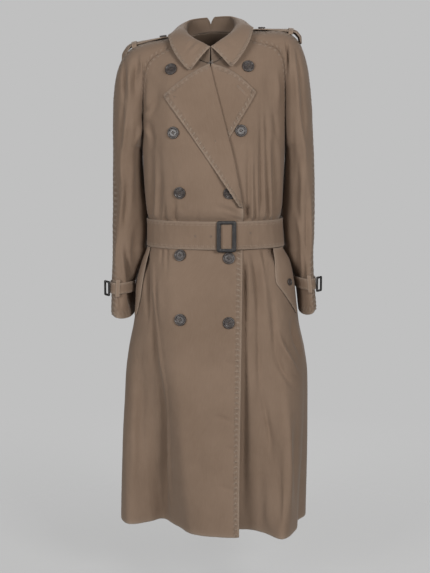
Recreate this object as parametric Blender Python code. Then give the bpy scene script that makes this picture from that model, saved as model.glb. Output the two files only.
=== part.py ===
"""Double-breasted trench coat, worn and belted, with no wearer.

Metres, +Z up.  The front faces -Y and +X is the wearer's left.  The origin is
at the base of the neck, level with the top of the shoulders.  Each cloth
piece is a wall: an outer grid of points worked out from the tables below, and
an inner grid one wall thickness behind it.
"""
import math

import bpy
import numpy as np

# ---- driving dimensions ----
WALL = 0.0016             # cloth of one panel
DOUBLE = 0.0024           # two layers sewn together: collar, lapels, straps
SEAM = 0.0003             # gap between two pieces at a seam
MITRE = 0.0008            # the inner edge of a seam is cut back by this much
PITCH = 0.0030            # from one layer of cloth to the next one over it
UNDERARM = -0.25          # height of the bottom of the armholes
HEM = -1.154
BELT_TOP = -0.4175
BELT_BOTTOM = -0.4805
BREAK = -0.385            # where the lapels start to turn back
OVERLAP = 0.070           # each front passes the centre line by this much
EDGE_SLOPE = 0.008        # and by this much less at the hem
LEAN = 0.085              # the wearer's left shoulder is held higher
NECK_X = -0.004           # the collar sits a little to the wearer's right
CREST_FROM = -0.10        # above this the body rounds over to the shoulder
CREST_POWER = 2.2
SKIRT_TOP = -0.49
LAP_SETTLES = (-0.135, -0.088)   # the upper front comes down to the body between these x
LAPEL_ROOM = (-0.415, -0.390)    # and stands off one layer more above these heights

# Body: height, half widths on the two sides, depths in front and behind, and
# the power of the superellipse that these make.
BODY = (
    # z, wearer's right, wearer's left, front, back, power
    (0.06, 0.260, 0.260, 0.092, 0.098, 2.6),
    (0.00, 0.240, 0.240, 0.093, 0.099, 2.6),
    (-0.06, 0.190, 0.196, 0.103, 0.112, 2.6),
    (-0.10, 0.177, 0.184, 0.113, 0.118, 2.6),
    (-0.15, 0.1715, 0.179, 0.121, 0.121, 2.6),
    (-0.20, 0.169, 0.1755, 0.127, 0.120, 2.6),
    (-0.25, 0.166, 0.172, 0.130, 0.116, 2.6),
    (-0.32, 0.163, 0.1690, 0.129, 0.109, 2.5),
    (-0.38, 0.157, 0.1650, 0.123, 0.101, 2.4),
    (-0.42, 0.1525, 0.1605, 0.114, 0.096, 2.4),
    (-0.48, 0.1525, 0.1645, 0.112, 0.096, 2.4),
    (-0.52, 0.165, 0.183, 0.121, 0.104, 2.4),
    (-0.58, 0.1805, 0.1970, 0.133, 0.116, 2.35),
    (-0.63, 0.1845, 0.2030, 0.139, 0.124, 2.3),
    (-0.67, 0.1900, 0.2080, 0.142, 0.130, 2.3),
    (-0.735, 0.2030, 0.2220, 0.145, 0.137, 2.2),
    (-0.795, 0.2105, 0.2300, 0.147, 0.142, 2.2),
    (-0.86, 0.2140, 0.2315, 0.147, 0.146, 2.2),
    (-0.95, 0.2185, 0.2320, 0.147, 0.150, 2.2),
    (-1.05, 0.2205, 0.2305, 0.147, 0.153, 2.2),
    (-1.154, 0.2220, 0.2280, 0.147, 0.156, 2.2),
)

# Height of the shoulder line over each distance from the centre.
CREST = (
    # x, z
    (0.00, 0.045),
    (0.03, 0.0395),
    (0.05, 0.029),
    (0.0715, 0.0150),
    (0.09, 0.0113),
    (0.11, 0.0085),
    (0.15, 0.0025),
    (0.19, -0.005),
    (0.25, -0.010),
)

# Neck seam: along half the neck from the front to the back.
NECK = (
    # share, x, z, face (-1 front, 0 shoulder line, 1 back)
    (0.00, 0.003, -0.057, -1),
    (0.20, 0.022, -0.049, -1),
    (0.38, 0.040, -0.034, -1),
    (0.50, 0.053, -0.018, -1),
    (0.60, 0.062, -0.003, -1),
    (0.72, 0.0715, 0.0150, 0),
    (0.84, 0.0615, 0.0125, 1),
    (0.92, 0.030, 0.0195, 1),
    (1.00, 0.000, 0.022, 1),
)
NECK_FRONT_SHARE = 0.60   # the raglan seams meet the neck seam here
NECK_BACK_SHARE = 0.84

# Raglan seams, from the neck seam down to the underarm.
RAGLAN = (
    # share, x right, x left, z front, z back
    (0.00, 0.062, 0.062, -0.003, 0.0125),
    (0.18, 0.104, 0.104, -0.016, -0.004),
    (0.36, 0.142, 0.148, -0.036, -0.034),
    (0.52, 0.157, 0.165, -0.072, -0.074),
    (0.68, 0.1605, 0.169, -0.125, -0.125),
    (0.84, 0.1630, 0.1705, -0.190, -0.190),
    (1.00, 0.166, 0.172, -0.250, -0.250),
)

# Sleeves: the outer seam and how each half runs from it to the inner seam.
# Down to share 1 the inner seam is the raglan seam.
SLEEVE_TOP = (
    # share, x right, x left, z, reach at the outer seam, reach at the inner, slide
    (0.00, 0.0715, 0.0715, 0.0150, 0.028, 0.000, 0.30),
    (0.18, 0.118, 0.118, 0.0112, 0.038, 0.000, 0.50),
    (0.36, 0.166, 0.165, 0.0060, 0.048, 0.008, 0.50),
    (0.52, 0.205, 0.1990, -0.0175, 0.066, 0.024, 0.40),
    (0.68, 0.2270, 0.2210, -0.070, 0.086, 0.040, 0.20),
    (0.84, 0.2345, 0.2330, -0.150, 0.094, 0.062, 0.05),
    (1.00, 0.2355, 0.2400, -0.250, 0.094, 0.092, 0.00),
)
SLEEVE_ARM = (
    # share, outer right, outer left, inner right, inner left, z, middle y, reach, inner seam back
    (1.00, 0.2355, 0.2400, 0.1675, 0.1735, -0.250, 0.000, 0.093, 0.000),
    (1.20, 0.2362, 0.2420, 0.1650, 0.1710, -0.310, -0.002, 0.091, 0.018),
    (1.50, 0.2368, 0.2426, 0.1500, 0.1625, -0.400, -0.006, 0.088, 0.054),
    (1.65, 0.2372, 0.2424, 0.1520, 0.1665, -0.450, -0.010, 0.086, 0.054),
    (1.80, 0.2378, 0.2406, 0.1610, 0.1770, -0.500, -0.014, 0.084, 0.052),
    (2.05, 0.2410, 0.2435, 0.1850, 0.2010, -0.580, -0.022, 0.080, 0.050),
    (2.25, 0.2425, 0.2480, 0.1880, 0.2085, -0.648, -0.028, 0.078, 0.050),
)
FRONT_ROOM = 0.014        # the front of a sleeve is drawn out from the body by this much
SLEEVE_FULL = 0.38        # its front reaches further forward on the inner side by this share
CUFF_DIP = 0.010          # the cuff's edge hangs this much lower in front
CUFF_TILT = (0.016, 0.022)    # and rises this much from the inner seam to the outer, right and left
CUFF_PIVOT = (0.4, 0.0)       # about this share of its width

# Folds of the skirt, ridges (+) and valleys (-), by the turn from the front.
# The layer says which front they are in: 0 both, -1 the upper one, 1 the under.
FOLDS = (
    # turn at belt, turn at hem, out at hip, out at knee, out at hem, layer
    (-180, -180, 0.000, 0.006, 0.012, 0),
    (-160, -161, 0.000, -0.010, -0.026, 0),
    (-140, -139, 0.000, 0.008, 0.020, 0),
    (-122, -120, -0.001, -0.012, -0.030, 0),
    (-104, -104, 0.003, 0.006, 0.012, 0),
    (-88, -88, 0.000, 0.000, 0.004, 0),
    (-74, -68, -0.001, 0.003, 0.006, 0),
    (-58, -46, -0.004, -0.018, -0.052, 0),
    (-47, -32, -0.005, -0.034, -0.094, 0),
    (-37, -20, 0.004, -0.012, -0.052, -1),
    (-26, -11, 0.006, 0.006, -0.002, -1),
    (-4, 0, 0.002, 0.008, 0.016, -1),
    (26, 16, 0.000, 0.010, 0.026, -1),
    (-34, -23, -0.006, -0.026, -0.066, 1),
    (-4, 0, -0.004, -0.016, -0.036, 1),
    (26, 16, -0.003, -0.016, -0.030, 1),
    (34, 22, -0.002, -0.016, -0.022, 0),
    (42, 30, 0.002, -0.006, 0.008, 0),
    (52, 41, 0.004, 0.018, 0.068, 0),
    (66, 53, 0.001, 0.010, 0.034, 0),
    (82, 70, -0.001, -0.004, -0.012, 0),
    (98, 96, 0.002, 0.002, 0.004, 0),
    (114, 114, -0.002, -0.010, -0.024, 0),
    (132, 131, 0.003, 0.008, 0.024, 0),
    (152, 151, -0.001, -0.012, -0.026, 0),
    (180, 180, 0.000, 0.006, 0.012, 0),
)
HIP = -0.65
KNEE = -0.88

# Lapels: the roll line and the outer edge, on the wearer's right and left.
LAPEL_ROLL_TOP = -0.0575
LAPEL_ROLL_RIGHT = -0.0080    # x of the top of the roll line of each lapel
LAPEL_ROLL_LEFT = -0.0010
LAPEL_BOW = 0.004
LAPEL_NOTCH = (0.029, -0.0660)
LAPEL_TIP_RIGHT = (0.1148, -0.1215)
LAPEL_TIP_LEFT = (0.1020, -0.1258)
LAPEL_BREAK_WIDTH = 0.007
LAPEL_LIFT = 0.0065        # the upper lapel stands off the button under it
LAPEL_LIFT_FROM = (0.55, 0.85)   # and rises to that over this share of its length
LAPEL_END_RISE = 0.004     # its lower end is cut off this much higher at the outer edge

# Collar: the fold line and the outer edge of the leaf, by share of the half.
FOLD_LINE = (
    # share, x, y, z, bulge of the leaf
    (0.00, 0.0022, -0.1045, -0.0200, 0.003),
    (0.16, 0.020, -0.0940, -0.0075, 0.005),
    (0.34, 0.040, -0.0740, 0.0060, 0.007),
    (0.48, 0.052, -0.0500, 0.0180, 0.007),
    (0.62, 0.0590, -0.0150, 0.0325, 0.006),
    (0.74, 0.0590, 0.0150, 0.0450, 0.006),
    (0.86, 0.0500, 0.0450, 0.0545, 0.006),
    (0.94, 0.0280, 0.0630, 0.0575, 0.006),
    (1.00, 0.0000, 0.0680, 0.0580, 0.006),
)
LEAF_EDGE = (
    # share, x, y, z
    (0.00, 0.0475, -0.1170, -0.0705),
    (0.16, 0.0640, -0.1110, -0.0520),
    (0.34, 0.0800, -0.0970, -0.0295),
    (0.48, 0.0920, -0.0790, -0.0045),
    (0.62, 0.0990, -0.0370, 0.0190),
    (0.74, 0.0980, 0.0180, 0.0205),
    (0.84, 0.0850, 0.0650, 0.0080),
    (0.93, 0.0480, 0.0970, -0.0060),
    (1.00, 0.0000, 0.1050, -0.0120),
)
COLLAR_NOTCH_WIDTH = 0.0075   # half the width of the nick behind
COLLAR_NOTCH_DEPTH = 0.016
STAND_IN = 0.0016             # the stand's top lies this far inside the fold line
STAND_BASE_IN = 0.0004        # and its lower edge this far inside the neck seam
STAND_BASE_UP = 0.0012
LEAF_STEPS = (0.0, 0.1, 0.3, 0.65, 1.0)

# Shoulder straps, along the shoulder line from the neck end to the armhole.
EPAULETTE = (
    # x, z, half width, how far the long edges hang below the middle
    (0.089, 0.0182, 0.0190, 0.0012),
    (0.112, 0.0174, 0.0205, 0.0016),
    (0.145, 0.0146, 0.0225, 0.0036),
    (0.175, 0.0118, 0.0245, 0.0060),
    (0.194, 0.0080, 0.0255, 0.0060),
    (0.206, 0.0000, 0.0260, 0.0055),
    (0.2130, -0.0100, 0.0262, 0.0050),
    (0.2140, -0.0250, 0.0262, 0.0030),
)
EPAULETTE_DROP = 0.0004       # the left sleeve head is flatter, so its strap lies lower
EPAULETTE_SHORT = 0.0040      # and ends this much nearer the neck
EPAULETTE_SHORTENS = (0.5, 0.8)
LOOP_SHARE = (0.45, 0.53)     # the loop's two edges, along the strap
STRAP_BUTTON_SHARE = (0.13, 0.19)
LOOP_PATH = ((-1.17, -0.005), (-1.15, 0.001), (-1.04, 0.0026), (-0.5, 0.0026), (0.0, 0.0026),
             (0.5, 0.0026), (1.04, 0.0026), (1.15, 0.001), (1.17, -0.005))

# Pocket flaps on the skirt: height and the turns of the two edges.
FLAP_LEFT = (
    # z, inner x, outer turn
    (-0.4840, 0.1420, 82.0),
    (-0.5100, 0.1455, 86.0),
    (-0.5400, 0.1462, 84.0),
    (-0.5560, 0.1475, 82.0),
    (-0.5900, 0.1680, 80.0),
    (-0.6200, 0.1865, 79.0),
    (-0.6400, 0.1975, 78.0),
)
FLAP_RIGHT = (
    # z, inner x, outer turn
    (-0.4840, 0.1450, 84.0),
    (-0.5100, 0.1530, 86.0),
    (-0.5400, 0.1600, 86.0),
    (-0.5640, 0.1645, 84.0),
    (-0.6000, 0.1700, 82.0),
    (-0.6300, 0.1760, 81.0),
    (-0.6460, 0.1800, 80.0),
)

# Buttons on the fronts: name, x, z, and how far each is lifted off the surface.
BUTTON_RADIUS = 0.0140
BUTTON_THICK = 0.0042
BUTTONS = (
    ("button_right_1", -0.0940, -0.0628, 0.0),
    ("button_left_1", 0.0815, -0.0708, 0.0),
    ("button_right_2", -0.0885, -0.2130, 0.0),
    ("button_left_2", 0.0648, -0.2095, 0.0),
    ("button_right_3", -0.0745, -0.3500, 0.0),
    ("button_left_3", 0.0385, -0.3500, 0.0),
    ("button_right_4", -0.0745, -0.4960, 0.0011),
    ("button_left_4", 0.0378, -0.5020, 0.0008),
    ("button_right_5", -0.0738, -0.6420, 0.0),
    ("button_left_5", 0.0375, -0.6490, 0.0),
)
SMALL_RADIUS = 0.0085
SMALL_THICK = 0.0034
BUTTON_GAP = 0.0004
BUTTON_PROFILE = (
    # share of the radius, share of the thickness
    (0.80, 0.00),
    (1.00, 0.40),
    (0.95, 1.00),
    (0.72, 0.80),
)

BUCKLE_X = (0.0080, 0.0540)
BUCKLE_Z = (-0.4145, -0.4870)
BUCKLE_BAR = 0.0100
BUCKLE_RAIL = 0.0080
BUCKLE_THICK = 0.0045
BUCKLE_TURN = 0.10        # slope of the buckle's face, following the body round
BUCKLE_ROUND = 0.006
BUCKLE_LIFT = 0.0020
BELT_TAIL_TURN = 108.0    # where the belt's end lies, turned from the front
BELT_GAP = 0.0014         # between the belt and what it lies on
BELT_CLIMB = (0.35, 0.12)   # the tail climbs onto the first turn before it meets it, in radians
BELT_FREE = 0.02

HOOK_Y = -0.1083
HOOK_Z = -0.0542
HOOK_WIRE = 0.0006
HOOK_APART = 0.0036       # centres of the two wires, from the line between the fronts
HOOK_RADIUS = 0.0027
HOOK_STEPS = 8

CUFF_STRAP_WIDTH = 0.025
STRAP_OUT = DOUBLE + BELT_GAP  # outer face of a wrist strap, off the sleeve
CUFF_STEPS = 32
CUFF_LOOP_TURNS = (1.02, 1.28)
CUFF_LOOP_HALF = 0.021        # half the height of the loop over the strap
CUFF_LOOP_OUT = STRAP_OUT + WALL + 0.0005
CUFF_BUCKLE_SIZE = (0.024, 0.037)
CUFF_BUCKLE_HOLE = (0.013, 0.026)
CUFF_BUCKLE_AT = 0.45         # its front bar rests on the strap at this turn, in radians
CUFF_BUCKLE_SWING = 0.60      # and its face is swung this far round from sideways to the front
CUFF_BUCKLE_OFF = 0.0007      # between its front bar and the strap
CUFF_BUCKLE_THICK = 0.0045
CUFF_BUCKLE_ROUND = 0.004
CUFF_BUCKLE_DROP = 0.002
CUFF_STRAP_RIGHT = -0.580     # height of the strap's middle at the front
CUFF_STRAP_LEFT = -0.570

CLOTH = (0.25, 0.175, 0.12)
HORN = (0.055, 0.045, 0.04)
BLACK = (0.02, 0.02, 0.02)
STEEL = (0.55, 0.55, 0.55)


# ---- curves through the tables ----
def through(xs, ys, at):
    """Smooth curve through the points (xs, ys) that never overshoots them."""
    xs = np.asarray(xs, float)
    ys = np.asarray(ys, float)
    at = np.clip(np.asarray(at, float), xs.min(), xs.max())
    if xs[0] > xs[-1]:
        xs = xs[::-1]
        ys = ys[::-1]
    step = np.diff(xs)
    slope = np.diff(ys) / step
    ends = np.concatenate(([slope[0]], slope, [slope[-1]]))
    before = ends[:-1]
    after = ends[1:]
    tangent = np.where(before * after > 0.0,
                       2.0 * before * after / np.where(before + after == 0.0, 1.0, before + after),
                       0.0)
    cell = np.clip(np.searchsorted(xs, at) - 1, 0, len(xs) - 2)
    width = step[cell]
    t = (at - xs[cell]) / width
    a = ys[cell]
    b = ys[cell + 1]
    low = tangent[cell] * width
    high = tangent[cell + 1] * width
    return (a * (1 + 2 * t) * (1 - t) ** 2 + low * t * (1 - t) ** 2
            + b * t ** 2 * (3 - 2 * t) + high * t ** 2 * (t - 1))


def column(table, name_column, value_column, at):
    """Value of one column of a table over another one."""
    return through([row[name_column] for row in table], [row[value_column] for row in table], at)


def ramp(low, high, value):
    """0 at low, 1 at high, smooth between."""
    t = np.clip((np.asarray(value, float) - low) / (high - low), 0.0, 1.0)
    return t * t * (3.0 - 2.0 * t)


# ---- the form of the body ----
def half_width(x, z):
    return np.where(x < 0.0, column(BODY, 0, 1, z), column(BODY, 0, 2, z))


def depth(x, z, face):
    """How far the body's cloth lies in front (face -1) of or behind (1) y = 0."""
    power = column(BODY, 0, 5, z)
    reach = column(BODY, 0, 3, z) if face < 0 else column(BODY, 0, 4, z)
    share = np.clip(np.abs(x) / half_width(x, z), 0.0, 1.0)
    across = (1.0 - share ** power) ** (1.0 / power)
    top = column(CREST, 0, 1, np.abs(x))
    rise = np.clip((z - CREST_FROM) / (top - CREST_FROM), 0.0, 1.0)
    return reach * across * (1.0 - rise ** CREST_POWER) ** (1.0 / CREST_POWER)


def turn_of(x, z):
    """Turn from the front, in radians, of a point of the front at x."""
    power = column(BODY, 0, 5, z)
    share = np.clip(np.abs(x) / half_width(x, z), 0.0, 1.0)
    return np.sign(x) * np.arcsin(share ** (power / 2.0))


def fold_out(turn, z, layer):
    """How far the skirt's folds stand out at a turn, for one of the two fronts."""
    rows = [row for row in FOLDS if row[5] in (0, layer)]
    down = np.clip((SKIRT_TOP - z) / (SKIRT_TOP - HEM), 0.0, 1.0)
    out = np.zeros_like(turn)
    heights = (HEM, KNEE, HIP, SKIRT_TOP)
    for index in np.ndindex(turn.shape):
        share = down[index]
        if share <= 0.0:
            continue
        places = [row[0] + (row[1] - row[0]) * share for row in rows]
        sizes = [through(heights, (row[4], row[3], row[2], 0.0), z[index]) for row in rows]
        out[index] = through(places, sizes, math.degrees(turn[index]))
    return out


def body_point(turn, z, out, layer):
    """Point of the body at a turn from the front and a height, moved out."""
    turn, z = np.broadcast_arrays(np.asarray(turn, float), np.asarray(z, float))
    power = column(BODY, 0, 5, z)
    side = np.sin(turn)
    ahead = np.cos(turn)
    x = half_width(side, z) * np.sign(side) * np.abs(side) ** (2.0 / power)
    reach = np.where(ahead > 0.0, column(BODY, 0, 3, z), column(BODY, 0, 4, z))
    y = -reach * np.sign(ahead) * np.abs(ahead) ** (2.0 / power)
    near = np.where(np.abs(turn) < math.pi / 2, np.abs(turn), math.pi - np.abs(turn))
    lead = near * (near / (math.pi / 2)) ** 2
    out = out + fold_out(turn, z, layer)
    x = x + np.sign(side) * np.sin(lead) * out
    y = y - np.sign(ahead) * np.cos(lead) * out
    return np.stack((x, y, z), axis=-1)


def chest_point(x, z, out, face):
    """Point of the upper body at x and z on one face, moved out along y."""
    x, z = np.broadcast_arrays(np.asarray(x, float), np.asarray(z, float))
    y = face * (depth(x, z, face) + out)
    return np.stack((x, y, z), axis=-1)


def lean(points):
    """The whole coat's tilt at the shoulders."""
    moved = np.array(points, float)
    moved[..., 2] += LEAN * moved[..., 0] * ramp(UNDERARM, -0.05, points[..., 2])
    return moved


def neck_point(share, side):
    """Point of the neck seam; side is -1 on the wearer's right and 1 on the left."""
    ys = []
    for row in NECK:
        away = 0.0 if row[3] == 0 else depth(np.array(row[1]), np.array(row[2]), row[3])
        ys.append(row[3] * float(away))
    shares = [row[0] for row in NECK]
    x = side * through(shares, [row[1] for row in NECK], share) + NECK_X
    y = through(shares, ys, share)
    z = through(shares, [row[2] for row in NECK], share)
    return np.stack((x, y, z), axis=-1)


def raglan_point(share, side, face):
    """Point of a raglan seam on the body."""
    x = side * column(RAGLAN, 0, 1 if side < 0 else 2, share)
    x = x + NECK_X * (1.0 - ramp(0.0, 0.3, share))
    z = column(RAGLAN, 0, 3 if face < 0 else 4, share)
    return chest_point(x, z, 0.0, face)


# ---- closed solids from grids ----
def unit(vectors):
    size = np.linalg.norm(vectors, axis=-1, keepdims=True)
    return vectors / np.maximum(size, 1e-9)


def normals_of(grid, around):
    """Unit normals of a grid of points, pointing to the side that rows x columns face."""
    if around:
        across = np.roll(grid, -1, axis=1) - np.roll(grid, 1, axis=1)
    else:
        across = np.gradient(grid, axis=1)
    along = np.gradient(grid, axis=0)
    return unit(np.cross(along, across))


def trimmed(grid, gap, sides):
    """The grid with its named edges drawn in by a gap."""
    result = grid.copy()
    pairs = {"first_row": (np.s_[0], np.s_[1]), "last_row": (np.s_[-1], np.s_[-2]),
             "first_column": (np.s_[:, 0], np.s_[:, 1]), "last_column": (np.s_[:, -1], np.s_[:, -2])}
    for side in sides:
        edge, inside = pairs[side]
        result[edge] = grid[edge] + unit(grid[inside] - grid[edge]) * gap
    return result


def material_for(name, colour, roughness, metallic=0.0):
    material = bpy.data.materials.get(name) or bpy.data.materials.new(name)
    material.use_nodes = True
    shader = material.node_tree.nodes["Principled BSDF"]
    shader.inputs["Base Color"].default_value = (*colour, 1.0)
    shader.inputs["Roughness"].default_value = roughness
    shader.inputs["Metallic"].default_value = metallic
    return material


FINISHES = {
    "cloth": (CLOTH, 0.85, 0.0),
    "horn": (HORN, 0.45, 0.0),
    "buckle": (BLACK, 0.5, 0.0),
    "steel": (STEEL, 0.3, 1.0),
}


def add_object(name, points, faces, finish):
    mesh = bpy.data.meshes.new(name)
    mesh.from_pydata([tuple(map(float, point)) for point in points], [], faces)
    mesh.update()
    for polygon in mesh.polygons:
        polygon.use_smooth = True
    mesh.set_sharp_from_angle(angle=math.radians(40.0))
    piece = bpy.data.objects.new(name, mesh)
    piece.data.materials.append(material_for(finish, *FINISHES[finish]))
    bpy.context.collection.objects.link(piece)
    return piece


def wall(name, outer, thick=WALL, around=False, flip=False, seams=()):
    """Closed wall whose outer face is the grid; around joins the last column to the first.

    Seen from outside, rows run down and columns run to the right, unless flip is set.
    The edges named in seams are mitred, so that they clear the next piece.
    """
    out = normals_of(outer, around)
    if flip:
        out = -out
    inner = trimmed(outer - out * thick, MITRE, seams)
    rows, columns = outer.shape[:2]
    points = np.concatenate((outer.reshape(-1, 3), inner.reshape(-1, 3)))
    half = rows * columns
    faces = []

    def at(row, col, layer):
        return layer * half + row * columns + col % columns

    def add(a, b, c, d):
        """Split a square on its shorter diagonal."""
        if flip:
            a, b, c, d = d, c, b, a
        first = np.linalg.norm(points[a] - points[c])
        second = np.linalg.norm(points[b] - points[d])
        if first <= second:
            faces.append((a, b, c))
            faces.append((a, c, d))
        else:
            faces.append((a, b, d))
            faces.append((b, c, d))

    last = columns if around else columns - 1
    for row in range(rows - 1):
        for col in range(last):
            add(at(row, col, 0), at(row + 1, col, 0), at(row + 1, col + 1, 0), at(row, col + 1, 0))
            add(at(row, col, 1), at(row, col + 1, 1), at(row + 1, col + 1, 1), at(row + 1, col, 1))
    for col in range(last):
        add(at(0, col, 0), at(0, col + 1, 0), at(0, col + 1, 1), at(0, col, 1))
        add(at(rows - 1, col, 1), at(rows - 1, col + 1, 1), at(rows - 1, col + 1, 0), at(rows - 1, col, 0))
    if not around:
        for row in range(rows - 1):
            add(at(row, 0, 0), at(row, 0, 1), at(row + 1, 0, 1), at(row + 1, 0, 0))
            add(at(row, columns - 1, 1), at(row, columns - 1, 0),
                at(row + 1, columns - 1, 0), at(row + 1, columns - 1, 1))
    return add_object(name, points, faces, "cloth")


# ---- fronts and back ----
UPPER_SHARES = np.linspace(0.0, 1.0, 8)
LOWER_HEIGHTS = np.array([-0.29, -0.335, -0.385, -0.415, -0.449, -0.483, -0.505, -0.54, -0.59, -0.65,
                          -0.73, -0.82, -0.90, -0.98, -1.07, HEM])
FRONT_COLUMNS = 13
BACK_COLUMNS = 19
SIDES = ("first_column", "last_column")


def front_edge(z, side):
    """x of the edge of a front: the roll line above the break, straight below."""
    share = np.clip((z - LAPEL_ROLL_TOP) / (BREAK - LAPEL_ROLL_TOP), 0.0, 1.0)
    top = LAPEL_ROLL_RIGHT if side < 0 else LAPEL_ROLL_LEFT
    end = -side * OVERLAP
    roll = top + (end - top) * share - side * LAPEL_BOW * np.sin(math.pi * share ** 2)
    straight = -side * (OVERLAP - EDGE_SLOPE * ramp(BREAK, HEM, z))
    return np.where(z > BREAK, roll, straight)


def over_lap(x, z, side):
    """How far a front is moved out: the wearer's right front lies over the left one."""
    if side > 0:
        return np.zeros_like(x + z)
    layers = 1.0 + ramp(*LAPEL_ROOM, z)
    return PITCH * layers * ramp(*LAP_SETTLES, x)


def patch_row(down, top, bottom, first, last):
    """Row of a patch with four given edges; down runs from 0 at its top to 1."""
    share = np.linspace(0.0, 1.0, len(top))[:, None]
    middle = (1.0 - down) * top + down * bottom
    return middle + (1.0 - share) * (first - middle[0]) + share * (last - middle[-1])


def front_grid(side):
    """Outer points of one front: side is -1 on the wearer's right, over the other."""
    share = np.linspace(0.0, 1.0, FRONT_COLUMNS)
    low = np.array(UNDERARM)
    start = turn_of(front_edge(low, side), low)
    turns = start + (side * math.pi / 2 - start) * share
    bottom = body_point(turns, low, 0.0, side)
    neck = neck_point(NECK_FRONT_SHARE * share, side)
    edge_z = LAPEL_ROLL_TOP + (UNDERARM - LAPEL_ROLL_TOP) * UPPER_SHARES
    edge = np.stack((front_edge(edge_z, side), np.zeros_like(edge_z), edge_z), axis=-1)
    seam = raglan_point(UPPER_SHARES, side, -1)
    rows = []
    for index, down in enumerate(UPPER_SHARES):
        x, _, z = patch_row(down, neck, bottom, edge[index], seam[index]).T
        rows.append(chest_point(x, z, over_lap(x, z, side), -1))
    for z in LOWER_HEIGHTS:
        height = np.array(z)
        start = turn_of(front_edge(height, side), height)
        turns = start + (side * math.pi / 2 - start) * share
        flat = body_point(turns, height, 0.0, side)
        rows.append(body_point(turns, height, over_lap(flat[:, 0], height, side), side))
    grid = np.array(rows)
    if side > 0:
        grid = grid[:, ::-1]
    return grid


def back_grid():
    share = np.linspace(0.0, 1.0, BACK_COLUMNS)
    turns = math.pi / 2 + math.pi * share
    low = np.array(UNDERARM)
    wrapped = np.where(turns > math.pi, turns - 2 * math.pi, turns)
    bottom = body_point(wrapped, low, 0.0, 0)
    blend = NECK_BACK_SHARE + (1.0 - NECK_BACK_SHARE) * (1.0 - np.abs(2.0 * share - 1.0))
    neck = np.where((share < 0.5)[:, None], neck_point(blend, 1), neck_point(blend, -1))
    left = raglan_point(UPPER_SHARES, 1, 1)
    right = raglan_point(UPPER_SHARES, -1, 1)
    rows = []
    for index, down in enumerate(UPPER_SHARES):
        x, _, z = patch_row(down, neck, bottom, left[index], right[index]).T
        rows.append(chest_point(x, z, 0.0, 1))
    for z in LOWER_HEIGHTS:
        rows.append(body_point(wrapped, np.array(z), 0.0, 0))
    return np.array(rows)[:, ::-1]


def make_body():
    for name, side in (("front_right", -1), ("front_left", 1)):
        grid = trimmed(lean(front_grid(side)), SEAM / 2, SIDES)[:, ::-1]
        wall(name, grid, seams=SIDES)
    grid = trimmed(lean(back_grid()), SEAM / 2, SIDES)[:, ::-1]
    wall("back", grid, seams=SIDES)


# ---- sleeves ----
ARM_SHARES = np.array([1.0, 1.12, 1.30, 1.5, 1.65, 1.8, 2.0, 2.12, 2.25])
SLEEVE_COLUMNS = 9


def bezier(ends, t):
    first, second, third, fourth = ends
    t = t[:, None]
    return (first * (1 - t) ** 3 + 3 * second * t * (1 - t) ** 2
            + 3 * third * t ** 2 * (1 - t) + fourth * t ** 3)


def front_room(share, face):
    """How far the front half of a sleeve is drawn out beside the body."""
    return FRONT_ROOM * ramp(1.0, 1.4, share) * (1.0 - ramp(1.7, 2.05, share)) * (face < 0)


def sleeve_section(share, side, face, t):
    """Section of half a sleeve, from the outer seam to the inner one."""
    pick = 1 if side < 0 else 2
    if share <= 1.0:
        outer_x = side * column(SLEEVE_TOP, 0, pick, share) + NECK_X * (1.0 - ramp(0.0, 0.3, share))
        outer = np.array((outer_x, 0.0, column(SLEEVE_TOP, 0, 3, share)), float)
        inner = raglan_point(np.array(share), side, face)
        reach_out = float(column(SLEEVE_TOP, 0, 4, share))
        reach_in = float(column(SLEEVE_TOP, 0, 5, share))
        slide = float(column(SLEEVE_TOP, 0, 6, share))
        away = np.array((outer[0] - inner[0], 0.0, outer[2] - inner[2]))
        ends = (outer, outer + np.array((0.0, face * reach_out, 0.0)),
                inner + away * slide + np.array((0.0, face * reach_in, 0.0)), inner)
        return bezier(ends, t)
    outer_x = side * float(column(SLEEVE_ARM, 0, pick, share))
    inner_x = side * float(column(SLEEVE_ARM, 0, pick + 2, share))
    z = float(column(SLEEVE_ARM, 0, 5, share))
    middle = float(column(SLEEVE_ARM, 0, 6, share))
    reach = float(column(SLEEVE_ARM, 0, 7, share))
    outer = np.array((outer_x, middle, z))
    inner = np.array((inner_x, middle + float(column(SLEEVE_ARM, 0, 8, share)), z))
    forward = np.array((0.0, face * reach, 0.0))
    room = np.array((side * front_room(share, face), 0.0, 0.0))
    full = SLEEVE_FULL * ramp(1.0, 1.3, share) * (1.0 - ramp(1.7, 2.0, share)) * (face < 0)
    points = bezier((outer, outer + forward, inner + forward * (1.0 + full) + room, inner), t)
    low = ramp(1.9, 2.25, share)
    points[:, 2] += low * CUFF_DIP * (points[:, 1] - middle) / 0.06
    across = (points[:, 0] - inner_x) / (outer_x - inner_x)
    points[:, 2] += low * CUFF_TILT[pick - 1] * (across - CUFF_PIVOT[pick - 1])
    return points


def sleeve_grid(side, face, shares, columns):
    t = np.linspace(0.0, 1.0, columns)
    return np.array([sleeve_section(share, side, face, t) for share in shares])


def make_sleeves():
    shares = np.concatenate((UPPER_SHARES, ARM_SHARES[1:]))
    for side_name, side in (("right", -1), ("left", 1)):
        for face_name, face in (("front", -1), ("back", 1)):
            grid = lean(sleeve_grid(side, face, shares, SLEEVE_COLUMNS))
            grid = trimmed(grid, SEAM / 2, SIDES)
            grid = trimmed(grid, SEAM, ("first_row",))
            wall(f"sleeve_{side_name}_{face_name}", grid, flip=side * face < 0, seams=SIDES)


# ---- lapels ----
LAPEL_ROWS = 12
LAPEL_COLUMNS = 7


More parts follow.
